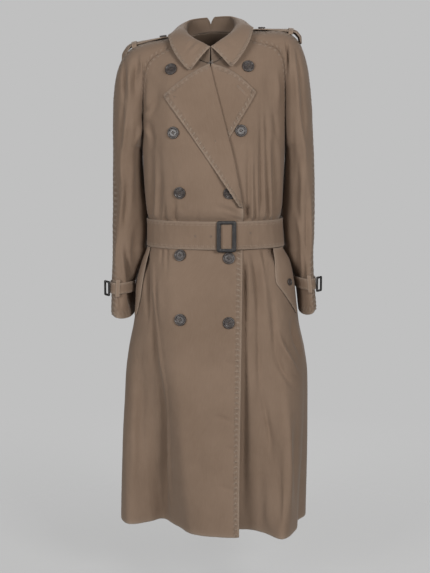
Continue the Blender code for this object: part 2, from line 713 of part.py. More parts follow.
def lapel_grid(side, rows, columns):
    """Outer points of a lapel, laid on its front: rows run down the roll line."""
    tip_x, tip_z = LAPEL_TIP_RIGHT if side < 0 else LAPEL_TIP_LEFT
    down = np.linspace(0.0, 1.0, rows)
    share = np.linspace(0.0, 1.0, columns)
    roll_z = LAPEL_ROLL_TOP + (BREAK - LAPEL_ROLL_TOP) * down
    roll_x = front_edge(roll_z, side)
    end_x = front_edge(np.array(BREAK), side) + side * LAPEL_BREAK_WIDTH
    edge_x = side * tip_x + (end_x - side * tip_x) * down
    edge_z = tip_z + (BREAK + LAPEL_END_RISE - tip_z) * down
    x = roll_x[:, None] + (edge_x - roll_x)[:, None] * share
    z = roll_z[:, None] + (edge_z - roll_z)[:, None] * share
    notch_x, notch_z = LAPEL_NOTCH
    line_z = LAPEL_ROLL_TOP + (tip_z - LAPEL_ROLL_TOP) * notch_x / tip_x
    lift = (notch_z - line_z) * np.sin(math.pi * share) * (1.0 - down[:, None]) ** 3
    z = z + lift
    stand = LAPEL_LIFT * share ** 0.6 * ramp(*LAPEL_LIFT_FROM, down)[:, None] if side < 0 else 0.0
    return chest_point(x, z, over_lap(x, z, side) + PITCH + stand, -1)


def make_lapels():
    for name, side in (("lapel_right", -1), ("lapel_left", 1)):
        grid = lean(lapel_grid(side, LAPEL_ROWS, LAPEL_COLUMNS))
        grid = trimmed(grid, SEAM, ("first_column",))
        wall(name, grid, thick=WALL, flip=side < 0)


# ---- collar ----
COLLAR_SHARES = np.array([0.0, 0.08, 0.16, 0.25, 0.34, 0.41, 0.48, 0.55, 0.62, 0.68, 0.74,
                          0.80, 0.86, 0.90, 0.94, 0.985, 1.0])
STAND_SHARES = (0.0, 1.0)


def mirrored(points):
    """A row of points from the wearer's right end to the left one, through the back."""
    right = points * np.array((-1.0, 1.0, 1.0)) + np.array((NECK_X, 0.0, 0.0))
    left = points + np.array((NECK_X, 0.0, 0.0))
    return np.concatenate((right, left[-2::-1]))


def collar_row(table):
    return np.stack([column(table, 0, axis, COLLAR_SHARES) for axis in (1, 2, 3)], axis=-1)


def nick(points):
    """Lower the collar's top by the nick at the middle of the back."""
    behind = points[..., 1] > 0.0
    away = np.abs(points[..., 0] - NECK_X) / COLLAR_NOTCH_WIDTH
    return COLLAR_NOTCH_DEPTH * np.clip(1.0 - away, 0.0, 1.0) * behind


def collar_leaf_grid(steps):
    fold = mirrored(collar_row(FOLD_LINE))
    edge = mirrored(collar_row(LEAF_EDGE))
    fold[:, 2] -= nick(fold)
    along = np.gradient(fold, axis=0)
    out = unit(np.cross(along, edge - fold))
    bulge = column(FOLD_LINE, 0, 4, COLLAR_SHARES)
    bulge = np.concatenate((bulge, bulge[-2::-1]))[:, None]
    rows = []
    for t in steps:
        rows.append(fold + (edge - fold) * t + out * bulge * math.sin(math.pi * t ** 0.7))
    return np.array(rows)


def collar_stand_grid():
    fold = mirrored(collar_row(FOLD_LINE))
    fold[:, 2] -= nick(fold) + DOUBLE + SEAM
    right = neck_point(COLLAR_SHARES, -1)
    left = neck_point(COLLAR_SHARES, 1)
    seam = np.concatenate((right, left[-2::-1]))
    seam[:, 2] += STAND_BASE_UP
    middle = np.array((NECK_X, 0.0, 0.0))
    inward = unit((middle - fold) * np.array((1.0, 1.0, 0.0)))
    top = fold + inward * STAND_IN
    base = seam + inward * STAND_BASE_IN
    return np.array([top + (base - top) * t for t in STAND_SHARES])


def make_collar():
    leaf = collar_leaf_grid(LEAF_STEPS)
    wall("collar_leaf", lean(leaf), thick=DOUBLE, flip=True)
    wall("collar_stand", lean(collar_stand_grid()), thick=DOUBLE, flip=True)


# ---- straps ----
STRAP_PATH = ((-1.0, 0.0), (-0.5, 0.0), (0.0, 0.0), (0.5, 0.0), (1.0, 0.0))
STRAP_COLUMNS = 12


def strap_grid(side, first, last, rows, path):
    """Points across and along a shoulder strap; the path gives (share of width, lift)."""
    share = np.linspace(first, last, rows)
    arc = np.linspace(0.0, 1.0, len(EPAULETTE))
    middle_x = through(arc, [row[0] for row in EPAULETTE], share)
    middle_z = through(arc, [row[1] for row in EPAULETTE], share)
    if side > 0:
        middle_x = middle_x - EPAULETTE_SHORT * ramp(*EPAULETTE_SHORTENS, share)
        middle_z = middle_z - EPAULETTE_DROP
    half = through(arc, [row[2] for row in EPAULETTE], share)
    hang = through(arc, [row[3] for row in EPAULETTE], share)
    slope = np.stack((np.gradient(middle_x), np.gradient(middle_z)), axis=-1)
    slope = slope / np.linalg.norm(slope, axis=1, keepdims=True)
    grid = []
    for across, lift in path:
        sag = hang * across ** 2
        x_out = middle_x - slope[:, 1] * (lift - sag)
        z_out = middle_z + slope[:, 0] * (lift - sag)
        grid.append(np.stack((side * x_out, half * across, z_out), axis=-1))
    return np.array(grid)


def make_epaulettes():
    for side_name, side in (("right", -1), ("left", 1)):
        grid = strap_grid(side, 0.0, 1.0, STRAP_COLUMNS, STRAP_PATH)
        wall(f"epaulette_{side_name}", lean(grid), thick=DOUBLE, flip=side > 0)
        loop = strap_grid(side, *LOOP_SHARE, 3, LOOP_PATH)
        wall(f"epaulette_loop_{side_name}", lean(loop), thick=WALL, flip=side > 0)
        middle = lean(strap_grid(side, *STRAP_BUTTON_SHARE, 3, STRAP_PATH)[2])
        along = unit(middle[2] - middle[0]) * side
        normal = np.array((-along[2], 0.0, along[0]))
        place_button(f"epaulette_button_{side_name}", middle[1], normal, SMALL_RADIUS, SMALL_THICK)


# ---- buttons ----
def place_button(name, seat, normal, radius, thick, sides=12):
    """Round button with a raised rim, standing just off its seat."""
    normal = unit(np.asarray(normal, float))
    helper = np.array((0.0, 0.0, 1.0)) if abs(normal[2]) < 0.9 else np.array((1.0, 0.0, 0.0))
    across = unit(np.cross(helper, normal))
    up = np.cross(normal, across)
    points = []
    for share, height in BUTTON_PROFILE:
        for step in range(sides):
            angle = 2 * math.pi * step / sides
            spoke = across * math.cos(angle) + up * math.sin(angle)
            points.append(seat + normal * (BUTTON_GAP + height * thick) + spoke * radius * share)
    faces = [tuple(range(sides))[::-1]]
    for ring in range(len(BUTTON_PROFILE) - 1):
        for step in range(sides):
            a = ring * sides + step
            b = ring * sides + (step + 1) % sides
            faces.append((a, b, b + sides, a + sides))
    faces.append(tuple(range(len(points) - sides, len(points))))
    return add_object(name, points, faces, "horn")


def front_surface(x, z, extra):
    """Point and outward normal on the fronts at x and z, above every layer there."""
    def at(px, pz):
        px = np.array(px, float)
        pz = np.array(pz, float)
        side = -1 if px <= float(front_edge(pz, -1)) else 1
        out = over_lap(px, pz, side) + extra
        if pz >= UNDERARM:
            return lean(chest_point(px, pz, out, -1))
        return lean(body_point(turn_of(px, pz), pz, out, side))
    step = 0.004
    here = at(x, z)
    normal = np.cross(at(x + step, z) - at(x - step, z), at(x, z + step) - at(x, z - step))
    return here, unit(normal)


def make_buttons():
    for name, x, z, lift in BUTTONS:
        seat, normal = front_surface(x, z, lift)
        place_button(name, seat, normal, BUTTON_RADIUS, BUTTON_THICK)


# ---- belt and buckle ----
BELT_ROWS = 2
BELT_STEPS = 56
LAP_EASE = 0.03           # the belt comes down to the under front over this width


def belt_grid(z_top, z_bottom, turn_from, turn_to, steps, rows, lift):
    """Strip round the waist; lift(turn) is how far each turn stands off the body."""
    turns = np.linspace(turn_from, turn_to, steps)
    heights = np.linspace(z_top, z_bottom, rows)
    grid = []
    for z in heights:
        wrapped = (turns + math.pi) % (2 * math.pi) - math.pi
        flat = body_point(wrapped, np.array(z), 0.0, 0)
        layers = over_lap(flat[:, 0], np.array(z), -1) * (np.abs(wrapped) < math.pi / 2)
        past = flat[:, 0] > OVERLAP
        layers = np.where(past, PITCH * (1.0 - ramp(OVERLAP, OVERLAP + LAP_EASE, flat[:, 0])), layers)
        shape = np.array([body_point(wrapped, np.array(z), layers + lift(turns), 0)])[0]
        grid.append(shape)
    return np.array(grid)


def make_belt():
    middle = (BUCKLE_X[0] + BUCKLE_X[1]) / 2
    start = float(turn_of(np.array(middle), np.array(-0.45)))
    over = start + 2 * math.pi
    tail = 2 * math.pi + math.radians(BELT_TAIL_TURN)

    def lift(turns):
        layer = DOUBLE + BELT_GAP
        return layer + layer * ramp(over - BELT_CLIMB[0], over - BELT_CLIMB[1], turns)

    grid = belt_grid(BELT_TOP, BELT_BOTTOM, start + BELT_FREE, tail, BELT_STEPS, BELT_ROWS, lift)
    wall("belt", grid, thick=DOUBLE)


FRAME_INNER_ROUND = 0.45  # rounding of a frame's hole, as a share of the outer one
FRAME_EDGE = 0.75         # thickness of a frame at its outer edge, as a share


def frame_ring(name, corner, across, up, normal, size, hole, thick, rounding, finish):
    """Rectangular frame with rounded corners: size and hole are (width, height)."""
    def outline(width, height, radius):
        points = []
        quarter = 4
        for sx, sy, start in ((1, 1, 0.0), (-1, 1, 0.5), (-1, -1, 1.0), (1, -1, 1.5)):
            for step in range(quarter + 1):
                angle = math.pi * (start + 0.5 * step / quarter)
                points.append((sx * (width / 2 - radius) + radius * math.cos(angle),
                               sy * (height / 2 - radius) + radius * math.sin(angle)))
        return points

    outer = outline(size[0], size[1], rounding)
    inner = outline(hole[0], hole[1], rounding * FRAME_INNER_ROUND)
    loops = ((outer, 0.0), (outer, thick * FRAME_EDGE), (inner, thick), (inner, 0.0))
    points = []
    for loop, height in loops:
        for px, py in loop:
            points.append(corner + across * px + up * py + normal * height)
    count = len(outer)
    faces = []
    for ring in range(4):
        for step in range(count):
            a = ring * count + step
            b = ring * count + (step + 1) % count
            c = ((ring + 1) % 4) * count + (step + 1) % count
            d = ((ring + 1) % 4) * count + step
            faces.append((a, b, c, d))
    return add_object(name, points, faces, finish)


def make_buckle():
    x = (BUCKLE_X[0] + BUCKLE_X[1]) / 2
    z = (BUCKLE_Z[0] + BUCKLE_Z[1]) / 2
    seat = body_point(turn_of(np.array(x), np.array(z)), np.array(z), 0.0, 0)
    reach = PITCH + 2 * (DOUBLE + BELT_GAP) + BUCKLE_LIFT
    normal = unit(np.array((BUCKLE_TURN, -1.0, 0.0)))
    across = np.array((-normal[1], normal[0], 0.0))
    up = np.array((0.0, 0.0, 1.0))
    width = BUCKLE_X[1] - BUCKLE_X[0]
    height = BUCKLE_Z[0] - BUCKLE_Z[1]
    frame_ring("belt_buckle", seat + normal * reach, across, up, normal, (width, height),
               (width - 2 * BUCKLE_BAR, height - 2 * BUCKLE_RAIL), BUCKLE_THICK, BUCKLE_ROUND, "buckle")


# ---- cuffs ----
NEARBY = 0.02             # turn, in radians, over which a direction is measured


def cuff_ring(side, height, lift, turns):
    """Points round a sleeve at a height, moved out; turn 0 is the outer seam."""
    pick = 1 if side < 0 else 2
    share = float(through([row[5] for row in SLEEVE_ARM], [row[0] for row in SLEEVE_ARM], height))
    outer = float(column(SLEEVE_ARM, 0, pick, share))
    inner = float(column(SLEEVE_ARM, 0, pick + 2, share))
    middle = float(column(SLEEVE_ARM, 0, 6, share))
    reach = float(column(SLEEVE_ARM, 0, 7, share))
    back = float(column(SLEEVE_ARM, 0, 8, share))
    room = float(front_room(share, -1))

    def at(turn):
        t = np.abs(turn) / math.pi
        x = outer + (inner - outer) * t ** 2 * (3.0 - 2.0 * t)
        x = x + room * 3.0 * t ** 2 * (1.0 - t) * (turn > 0.0)
        y = middle - np.sign(turn) * 3.0 * reach * t * (1.0 - t) + back * t ** 2 * (3.0 - 2.0 * t)
        return np.stack((x, y), axis=-1)

    ahead = (turns + NEARBY + math.pi) % (2.0 * math.pi) - math.pi
    behind = (turns - NEARBY + math.pi) % (2.0 * math.pi) - math.pi
    along = unit(at(ahead) - at(behind))
    out = np.stack((-along[:, 1], along[:, 0]), axis=-1)
    ring = at(turns) + out * lift
    return np.stack((side * ring[:, 0], ring[:, 1], np.full_like(turns, height)), axis=-1)


def make_cuffs():
    for side_name, side, middle in (("right", -1, CUFF_STRAP_RIGHT), ("left", 1, CUFF_STRAP_LEFT)):
        turns = np.linspace(-math.pi, math.pi, CUFF_STEPS + 1)[:-1]
        half = CUFF_STRAP_WIDTH / 2
        rows = [cuff_ring(side, middle + up, STRAP_OUT, turns) for up in (half, -half)]
        wall(f"cuff_strap_{side_name}", np.array(rows), thick=DOUBLE, around=True, flip=side > 0)
        turns = np.linspace(*CUFF_LOOP_TURNS, 3)
        heights = (middle + CUFF_LOOP_HALF, middle, middle - CUFF_LOOP_HALF)
        rows = [cuff_ring(side, height, CUFF_LOOP_OUT, turns) for height in heights]
        wall(f"cuff_loop_{side_name}", np.array(rows), thick=WALL, flip=side > 0)
        turn = np.array((CUFF_BUCKLE_AT,))
        seat = cuff_ring(side, middle - CUFF_BUCKLE_DROP, STRAP_OUT + CUFF_BUCKLE_OFF, turn)[0]
        swing = (math.cos(CUFF_BUCKLE_SWING), math.sin(CUFF_BUCKLE_SWING))
        normal = np.array((side * swing[0], -swing[1], 0.0))
        across = np.array((swing[1], side * swing[0], 0.0))
        seat = seat + side * across * CUFF_BUCKLE_SIZE[0] / 2
        frame_ring(f"cuff_buckle_{side_name}", seat, across, np.array((0.0, 0.0, 1.0)), normal,
                   CUFF_BUCKLE_SIZE, CUFF_BUCKLE_HOLE, CUFF_BUCKLE_THICK, CUFF_BUCKLE_ROUND, "buckle")


# ---- pockets ----
FLAP_ROWS = 11
FLAP_COLUMNS = 5
FLAP_OUT = 0.0030         # outer face of a flap, off the skirt
FLAP_BULGE = 0.0030


def flap_grid(side, table, rows, columns):
    """Outer points of a pocket flap on the skirt."""
    heights = np.linspace(table[0][0], table[-1][0], rows)
    share = np.linspace(0.0, 1.0, columns)
    grid = []
    for z in heights:
        inner_x = side * float(column(table, 0, 1, z))
        first = float(turn_of(np.array(inner_x), np.array(z)))
        last = side * math.radians(float(column(table, 0, 2, z)))
        turns = first + (last - first) * share
        lift = FLAP_OUT + FLAP_BULGE * np.sin(math.pi * share)
        grid.append(body_point(turns, np.array(z), lift, 0))
    return np.array(grid)


def make_pockets():
    for name, side, table in (("right", -1, FLAP_RIGHT), ("left", 1, FLAP_LEFT)):
        grid = flap_grid(side, table, FLAP_ROWS, FLAP_COLUMNS)
        wall(f"pocket_flap_{name}", grid, thick=WALL, flip=side < 0)
        centre = (FLAP_ROWS // 2, FLAP_COLUMNS // 2 + (side < 0))
        normal = side * normals_of(grid, False)[centre]
        place_button(f"pocket_button_{name}", grid[centre], normal, SMALL_RADIUS, SMALL_THICK)


# ---- hook and eye at the throat ----
def wire(name, route, radius, finish, sides=6):
    """Closed round wire along a short route."""
    route = np.asarray(route, float)
    along = unit(np.gradient(route, axis=0))
    helper = np.array((0.0, 1.0, 0.0))
    across = unit(np.cross(along, helper))
    up = np.cross(across, along)
    points = []
    for place, first, second in zip(route, across, up):
        for step in range(sides):
            angle = 2 * math.pi * step / sides
            points.append(place + radius * (first * math.cos(angle) + second * math.sin(angle)))
    faces = [tuple(range(sides))]
    for ring in range(len(route) - 1):
        for step in range(sides):
            a = ring * sides + step
            b = ring * sides + (step + 1) % sides
            faces.append((a, a + sides, b + sides, b))
    faces.append(tuple(range((len(route) - 1) * sides, len(route) * sides))[::-1])
    return add_object(name, points, faces, finish)


def make_hook_and_eye():
    """Two bent wires at the throat, one sewn to each front."""
    for name, side, start, sweep in (("hook", -1, 0.60, 1.35), ("eye", 1, 0.25, 1.60)):
        centre = np.array((NECK_X + side * HOOK_APART, HOOK_Y, HOOK_Z))
        angles = math.pi * np.linspace(start, start + sweep, HOOK_STEPS + 1)
        round_it = np.stack((side * np.cos(angles), np.zeros_like(angles), np.sin(angles)), axis=-1)
        wire(name, lean(centre + HOOK_RADIUS * round_it), HOOK_WIRE, "steel")


def main():
    for existing in list(bpy.data.objects):
        bpy.data.objects.remove(existing, do_unlink=True)
    make_body()
    make_sleeves()
    make_lapels()
    make_collar()
    make_epaulettes()
    make_buttons()
    make_belt()
    make_buckle()
    make_cuffs()
    make_pockets()
    make_hook_and_eye()


main()
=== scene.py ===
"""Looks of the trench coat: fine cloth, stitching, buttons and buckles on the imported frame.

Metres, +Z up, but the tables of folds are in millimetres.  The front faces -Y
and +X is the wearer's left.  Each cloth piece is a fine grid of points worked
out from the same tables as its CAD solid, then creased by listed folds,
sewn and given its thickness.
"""

import math

import bpy
import numpy as np
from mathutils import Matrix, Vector


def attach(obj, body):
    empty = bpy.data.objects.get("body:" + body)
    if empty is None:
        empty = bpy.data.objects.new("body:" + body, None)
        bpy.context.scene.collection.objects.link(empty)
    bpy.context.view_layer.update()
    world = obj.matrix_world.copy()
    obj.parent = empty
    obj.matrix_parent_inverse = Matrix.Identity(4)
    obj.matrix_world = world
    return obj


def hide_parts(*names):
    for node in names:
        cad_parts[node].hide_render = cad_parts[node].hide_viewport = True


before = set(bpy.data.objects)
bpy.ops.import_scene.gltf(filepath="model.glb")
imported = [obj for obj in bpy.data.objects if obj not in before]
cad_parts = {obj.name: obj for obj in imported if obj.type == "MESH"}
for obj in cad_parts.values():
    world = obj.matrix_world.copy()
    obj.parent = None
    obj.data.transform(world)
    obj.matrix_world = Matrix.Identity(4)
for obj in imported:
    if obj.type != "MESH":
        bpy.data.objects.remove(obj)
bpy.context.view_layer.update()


# ---- driving dimensions, as in the CAD model ----
WALL = 0.0016             # cloth of one panel
DOUBLE = 0.0024           # two layers sewn together: collar, lapels, straps
SEAM = 0.0003             # gap between two pieces at a seam
MITRE = 0.0008            # the inner edge of a seam is cut back by this much
PITCH = 0.0030            # from one layer of cloth to the next one over it
UNDERARM = -0.25          # height of the bottom of the armholes
HEM = -1.154
BELT_TOP = -0.4175
BELT_BOTTOM = -0.4805
BREAK = -0.385            # where the lapels start to turn back
OVERLAP = 0.070           # each front passes the centre line by this much
EDGE_SLOPE = 0.008        # and by this much less at the hem
LEAN = 0.085              # the wearer's left shoulder is held higher
LEAN_FULL = -0.05         # and the tilt is full above this height
NECK_X = -0.004           # the collar sits a little to the wearer's right
NECK_SHIFTS = (0.0, 0.3)  # and the seams run back to the middle over this share of their length
CREST_FROM = -0.10        # above this the body rounds over to the shoulder
CREST_POWER = 2.2
SKIRT_TOP = -0.49
LAP_SETTLES = (-0.135, -0.088)   # the upper front comes down to the body between these x
LAPEL_ROOM = (-0.415, -0.390)    # and stands off one layer more above these heights


# ---- the finer grids ----
ROW_STEP = 0.0042         # between two rows of a panel
EDGE_CROWDING = 0.45      # columns lie closer together at a panel's edges
FRONT_COLUMNS = 150
BACK_COLUMNS = 112
SLEEVE_COLUMNS = 70
EDGE_ROUND = 0.35         # how far a free edge bulges, as a share of the cloth
EDGE_WEAR_AND_HIGHLIGHT = 0.005         # the paler strip along a free edge: wear, and a painted highlight
NARROW_WEAR_AND_HIGHLIGHT = 0.003       # and along those of belts and straps
INNER_WEAVE = 0.37        # the inner face takes its weave from this far along the cloth

# Body: height, half widths on the two sides, depths in front and behind, and
# the power of the superellipse that these make.
BODY = (
    # z, wearer's right, wearer's left, front, back, power
    (0.06, 0.260, 0.260, 0.092, 0.098, 2.6),
    (0.00, 0.240, 0.240, 0.093, 0.099, 2.6),
    (-0.06, 0.190, 0.196, 0.103, 0.112, 2.6),
    (-0.10, 0.177, 0.184, 0.113, 0.118, 2.6),
    (-0.15, 0.1715, 0.179, 0.121, 0.121, 2.6),
    (-0.20, 0.169, 0.1755, 0.127, 0.120, 2.6),
    (-0.25, 0.166, 0.172, 0.130, 0.116, 2.6),
    (-0.32, 0.163, 0.1690, 0.129, 0.109, 2.5),
    (-0.38, 0.157, 0.1650, 0.123, 0.101, 2.4),
    (-0.42, 0.1525, 0.1605, 0.114, 0.096, 2.4),
    (-0.48, 0.1525, 0.1645, 0.112, 0.096, 2.4),
    (-0.52, 0.165, 0.183, 0.121, 0.104, 2.4),
    (-0.58, 0.1805, 0.1970, 0.133, 0.116, 2.35),
    (-0.63, 0.1845, 0.2030, 0.139, 0.124, 2.3),
    (-0.67, 0.1900, 0.2080, 0.142, 0.130, 2.3),
    (-0.735, 0.2030, 0.2220, 0.145, 0.137, 2.2),
    (-0.795, 0.2105, 0.2300, 0.147, 0.142, 2.2),
    (-0.86, 0.2140, 0.2315, 0.147, 0.146, 2.2),
    (-0.95, 0.2185, 0.2320, 0.147, 0.150, 2.2),
    (-1.05, 0.2205, 0.2305, 0.147, 0.153, 2.2),
    (-1.154, 0.2220, 0.2280, 0.147, 0.156, 2.2),
)

# Height of the shoulder line over each distance from the centre.
CREST = (
    # x, z
    (0.00, 0.045),
    (0.03, 0.0395),
    (0.05, 0.029),
    (0.0715, 0.0150),
    (0.09, 0.0113),
    (0.11, 0.0085),
    (0.15, 0.0025),
    (0.19, -0.005),
    (0.25, -0.010),
)

# Neck seam: along half the neck from the front to the back.
NECK = (
    # share, x, z, face (-1 front, 0 shoulder line, 1 back)
    (0.00, 0.003, -0.057, -1),
    (0.20, 0.022, -0.049, -1),
    (0.38, 0.040, -0.034, -1),
    (0.50, 0.053, -0.018, -1),
    (0.60, 0.062, -0.003, -1),
    (0.72, 0.0715, 0.0150, 0),
    (0.84, 0.0615, 0.0125, 1),
    (0.92, 0.030, 0.0195, 1),
    (1.00, 0.000, 0.022, 1),
)
NECK_FRONT_SHARE = 0.60   # the raglan seams meet the neck seam here
NECK_BACK_SHARE = 0.84

# Raglan seams, from the neck seam down to the underarm.
RAGLAN = (
    # share, x right, x left, z front, z back
    (0.00, 0.062, 0.062, -0.003, 0.0125),
    (0.18, 0.104, 0.104, -0.016, -0.004),
    (0.36, 0.142, 0.148, -0.036, -0.034),
    (0.52, 0.157, 0.165, -0.072, -0.074),
    (0.68, 0.1605, 0.169, -0.125, -0.125),
    (0.84, 0.1630, 0.1705, -0.190, -0.190),
    (1.00, 0.166, 0.172, -0.250, -0.250),
)

# Sleeves: the outer seam and how each half runs from it to the inner seam.
# Down to share 1 the inner seam is the raglan seam.
SLEEVE_TOP = (
    # share, x right, x left, z, reach at the outer seam, reach at the inner, slide
    (0.00, 0.0715, 0.0715, 0.0150, 0.028, 0.000, 0.30),
    (0.18, 0.118, 0.118, 0.0112, 0.038, 0.000, 0.50),
    (0.36, 0.166, 0.165, 0.0060, 0.048, 0.008, 0.50),
    (0.52, 0.205, 0.1990, -0.0175, 0.066, 0.024, 0.40),
    (0.68, 0.2270, 0.2210, -0.070, 0.086, 0.040, 0.20),
    (0.84, 0.2345, 0.2330, -0.150, 0.094, 0.062, 0.05),
    (1.00, 0.2355, 0.2400, -0.250, 0.094, 0.092, 0.00),
)
SLEEVE_ARM = (
    # share, outer right, outer left, inner right, inner left, z, middle y, reach, inner seam back
    (1.00, 0.2355, 0.2400, 0.1675, 0.1735, -0.250, 0.000, 0.093, 0.000),
    (1.20, 0.2362, 0.2420, 0.1650, 0.1710, -0.310, -0.002, 0.091, 0.018),
    (1.50, 0.2368, 0.2426, 0.1500, 0.1625, -0.400, -0.006, 0.088, 0.054),
    (1.65, 0.2372, 0.2424, 0.1520, 0.1665, -0.450, -0.010, 0.086, 0.054),
    (1.80, 0.2378, 0.2406, 0.1610, 0.1770, -0.500, -0.014, 0.084, 0.052),
    (2.05, 0.2410, 0.2435, 0.1850, 0.2010, -0.580, -0.022, 0.080, 0.050),
    (2.25, 0.2425, 0.2480, 0.1880, 0.2085, -0.648, -0.028, 0.078, 0.050),
)
FRONT_ROOM = 0.014        # the front of a sleeve is drawn out from the body by this much
SLEEVE_FULL = 0.38        # its front reaches further forward on the inner side by this share
CUFF_DIP = 0.010          # the cuff's edge hangs this much lower in front
CUFF_TILT = (0.016, 0.022)    # and rises this much from the inner seam to the outer, right and left
CUFF_PIVOT = (0.4, 0.0)       # about this share of its width
ROOM_SHARES = ((1.0, 1.4), (1.7, 2.05))   # shares over which the front's room comes and goes
FULL_SHARES = ((1.0, 1.3), (1.7, 2.0))    # and its fullness
CUFF_SHARES = (1.9, 2.25)     # and over which the cuff's dip and tilt come
CUFF_REACH = 0.06             # half the depth of the cuff

# Folds of the skirt, ridges (+) and valleys (-), by the turn from the front.
# The layer says which front they are in: 0 both, -1 the upper one, 1 the under.
FOLDS = (
    # turn at belt, turn at hem, out at hip, out at knee, out at hem, layer
    (-180, -180, 0.000, 0.006, 0.012, 0),
    (-160, -161, 0.000, -0.010, -0.026, 0),
    (-140, -139, 0.000, 0.008, 0.020, 0),
    (-122, -120, -0.001, -0.012, -0.030, 0),
    (-104, -104, 0.003, 0.006, 0.012, 0),
    (-88, -88, 0.000, 0.000, 0.004, 0),
    (-74, -68, -0.001, 0.003, 0.006, 0),
    (-58, -46, -0.004, -0.018, -0.052, 0),
    (-47, -32, -0.005, -0.034, -0.094, 0),
    (-37, -20, 0.004, -0.012, -0.052, -1),
    (-26, -11, 0.006, 0.006, -0.002, -1),
    (-4, 0, 0.002, 0.008, 0.016, -1),
    (26, 16, 0.000, 0.010, 0.026, -1),
    (-34, -23, -0.006, -0.026, -0.066, 1),
    (-4, 0, -0.004, -0.016, -0.036, 1),
    (26, 16, -0.003, -0.016, -0.030, 1),
    (34, 22, -0.002, -0.016, -0.022, 0),
    (42, 30, 0.002, -0.006, 0.008, 0),
    (52, 41, 0.004, 0.018, 0.068, 0),
    (66, 53, 0.001, 0.010, 0.034, 0),
    (82, 70, -0.001, -0.004, -0.012, 0),
    (98, 96, 0.002, 0.002, 0.004, 0),
    (114, 114, -0.002, -0.010, -0.024, 0),
    (132, 131, 0.003, 0.008, 0.024, 0),
    (152, 151, -0.001, -0.012, -0.026, 0),
    (180, 180, 0.000, 0.006, 0.012, 0),
)
HIP = -0.65
KNEE = -0.88

# Lapels: the roll line and the outer edge, on the wearer's right and left.
LAPEL_ROLL_TOP = -0.0575
LAPEL_ROLL_RIGHT = -0.0080    # x of the top of the roll line of each lapel
LAPEL_ROLL_LEFT = -0.0010
LAPEL_BOW = 0.004
LAPEL_NOTCH = (0.029, -0.0660)
LAPEL_TIP_RIGHT = (0.1148, -0.1215)
LAPEL_TIP_LEFT = (0.1020, -0.1258)
LAPEL_BREAK_WIDTH = 0.007
LAPEL_LIFT = 0.0065       # the upper lapel stands off the button under it
LAPEL_LIFT_FROM = (0.55, 0.85)   # and rises to that over this share of its length
LAPEL_END_RISE = 0.004    # its lower end is cut off this much higher at the outer edge

# Collar: the fold line and the outer edge of the leaf, by share of the half.
FOLD_LINE = (
    # share, x, y, z, bulge of the leaf
    (0.00, 0.0022, -0.1045, -0.0200, 0.003),
    (0.16, 0.020, -0.0940, -0.0075, 0.005),
    (0.34, 0.040, -0.0740, 0.0060, 0.007),
    (0.48, 0.052, -0.0500, 0.0180, 0.007),
    (0.62, 0.0590, -0.0150, 0.0325, 0.006),
    (0.74, 0.0590, 0.0150, 0.0450, 0.006),
    (0.86, 0.0500, 0.0450, 0.0545, 0.006),
    (0.94, 0.0280, 0.0630, 0.0575, 0.006),
    (1.00, 0.0000, 0.0680, 0.0580, 0.006),
)
LEAF_EDGE = (
    # share, x, y, z
    (0.00, 0.0475, -0.1170, -0.0705),
    (0.16, 0.0640, -0.1110, -0.0520),
    (0.34, 0.0800, -0.0970, -0.0295),
    (0.48, 0.0920, -0.0790, -0.0045),
    (0.62, 0.0990, -0.0370, 0.0190),
    (0.74, 0.0980, 0.0180, 0.0205),
    (0.84, 0.0850, 0.0650, 0.0080),
    (0.93, 0.0480, 0.0970, -0.0060),
    (1.00, 0.0000, 0.1050, -0.0120),
)
COLLAR_NOTCH_WIDTH = 0.0075   # half the width of the nick behind
COLLAR_NOTCH_DEPTH = 0.016
STAND_IN = 0.0016             # the stand's top lies this far inside the fold line
STAND_BASE_IN = 0.0004        # and its lower edge this far inside the neck seam
STAND_BASE_UP = 0.0012


# Shoulder straps, along the shoulder line from the neck end to the armhole.
EPAULETTE = (
    # x, z, half width, how far the long edges hang below the middle
    (0.089, 0.0182, 0.0190, 0.0012),
    (0.112, 0.0174, 0.0205, 0.0016),
    (0.145, 0.0146, 0.0225, 0.0036),
    (0.175, 0.0118, 0.0245, 0.0060),
    (0.194, 0.0080, 0.0255, 0.0060),
    (0.206, 0.0000, 0.0260, 0.0055),
    (0.2130, -0.0100, 0.0262, 0.0050),
    (0.2140, -0.0250, 0.0262, 0.0030),
)
EPAULETTE_DROP = 0.0004       # the left sleeve head is flatter, so its strap lies lower
EPAULETTE_SHORT = 0.0040      # and ends this much nearer the neck
EPAULETTE_SHORTENS = (0.5, 0.8)
LOOP_SHARE = (0.45, 0.53)     # the loop's two edges, along the strap
STRAP_BUTTON_SHARE = (0.13, 0.19)
LOOP_PATH = ((-1.17, -0.005), (-1.15, 0.001), (-1.04, 0.0026), (-0.5, 0.0026), (0.0, 0.0026),
             (0.5, 0.0026), (1.04, 0.0026), (1.15, 0.001), (1.17, -0.005))

# Pocket flaps on the skirt: height and the turns of the two edges.
FLAP_LEFT = (
    # z, inner x, outer turn
    (-0.4840, 0.1420, 82.0),
    (-0.5100, 0.1455, 86.0),
    (-0.5400, 0.1462, 84.0),
    (-0.5560, 0.1475, 82.0),
    (-0.5900, 0.1680, 80.0),
    (-0.6200, 0.1865, 79.0),
    (-0.6400, 0.1975, 78.0),
)
FLAP_RIGHT = (
    # z, inner x, outer turn
    (-0.4840, 0.1450, 84.0),
    (-0.5100, 0.1530, 86.0),
    (-0.5400, 0.1600, 86.0),
    (-0.5640, 0.1645, 84.0),
    (-0.6000, 0.1700, 82.0),
    (-0.6300, 0.1760, 81.0),
    (-0.6460, 0.1800, 80.0),
)

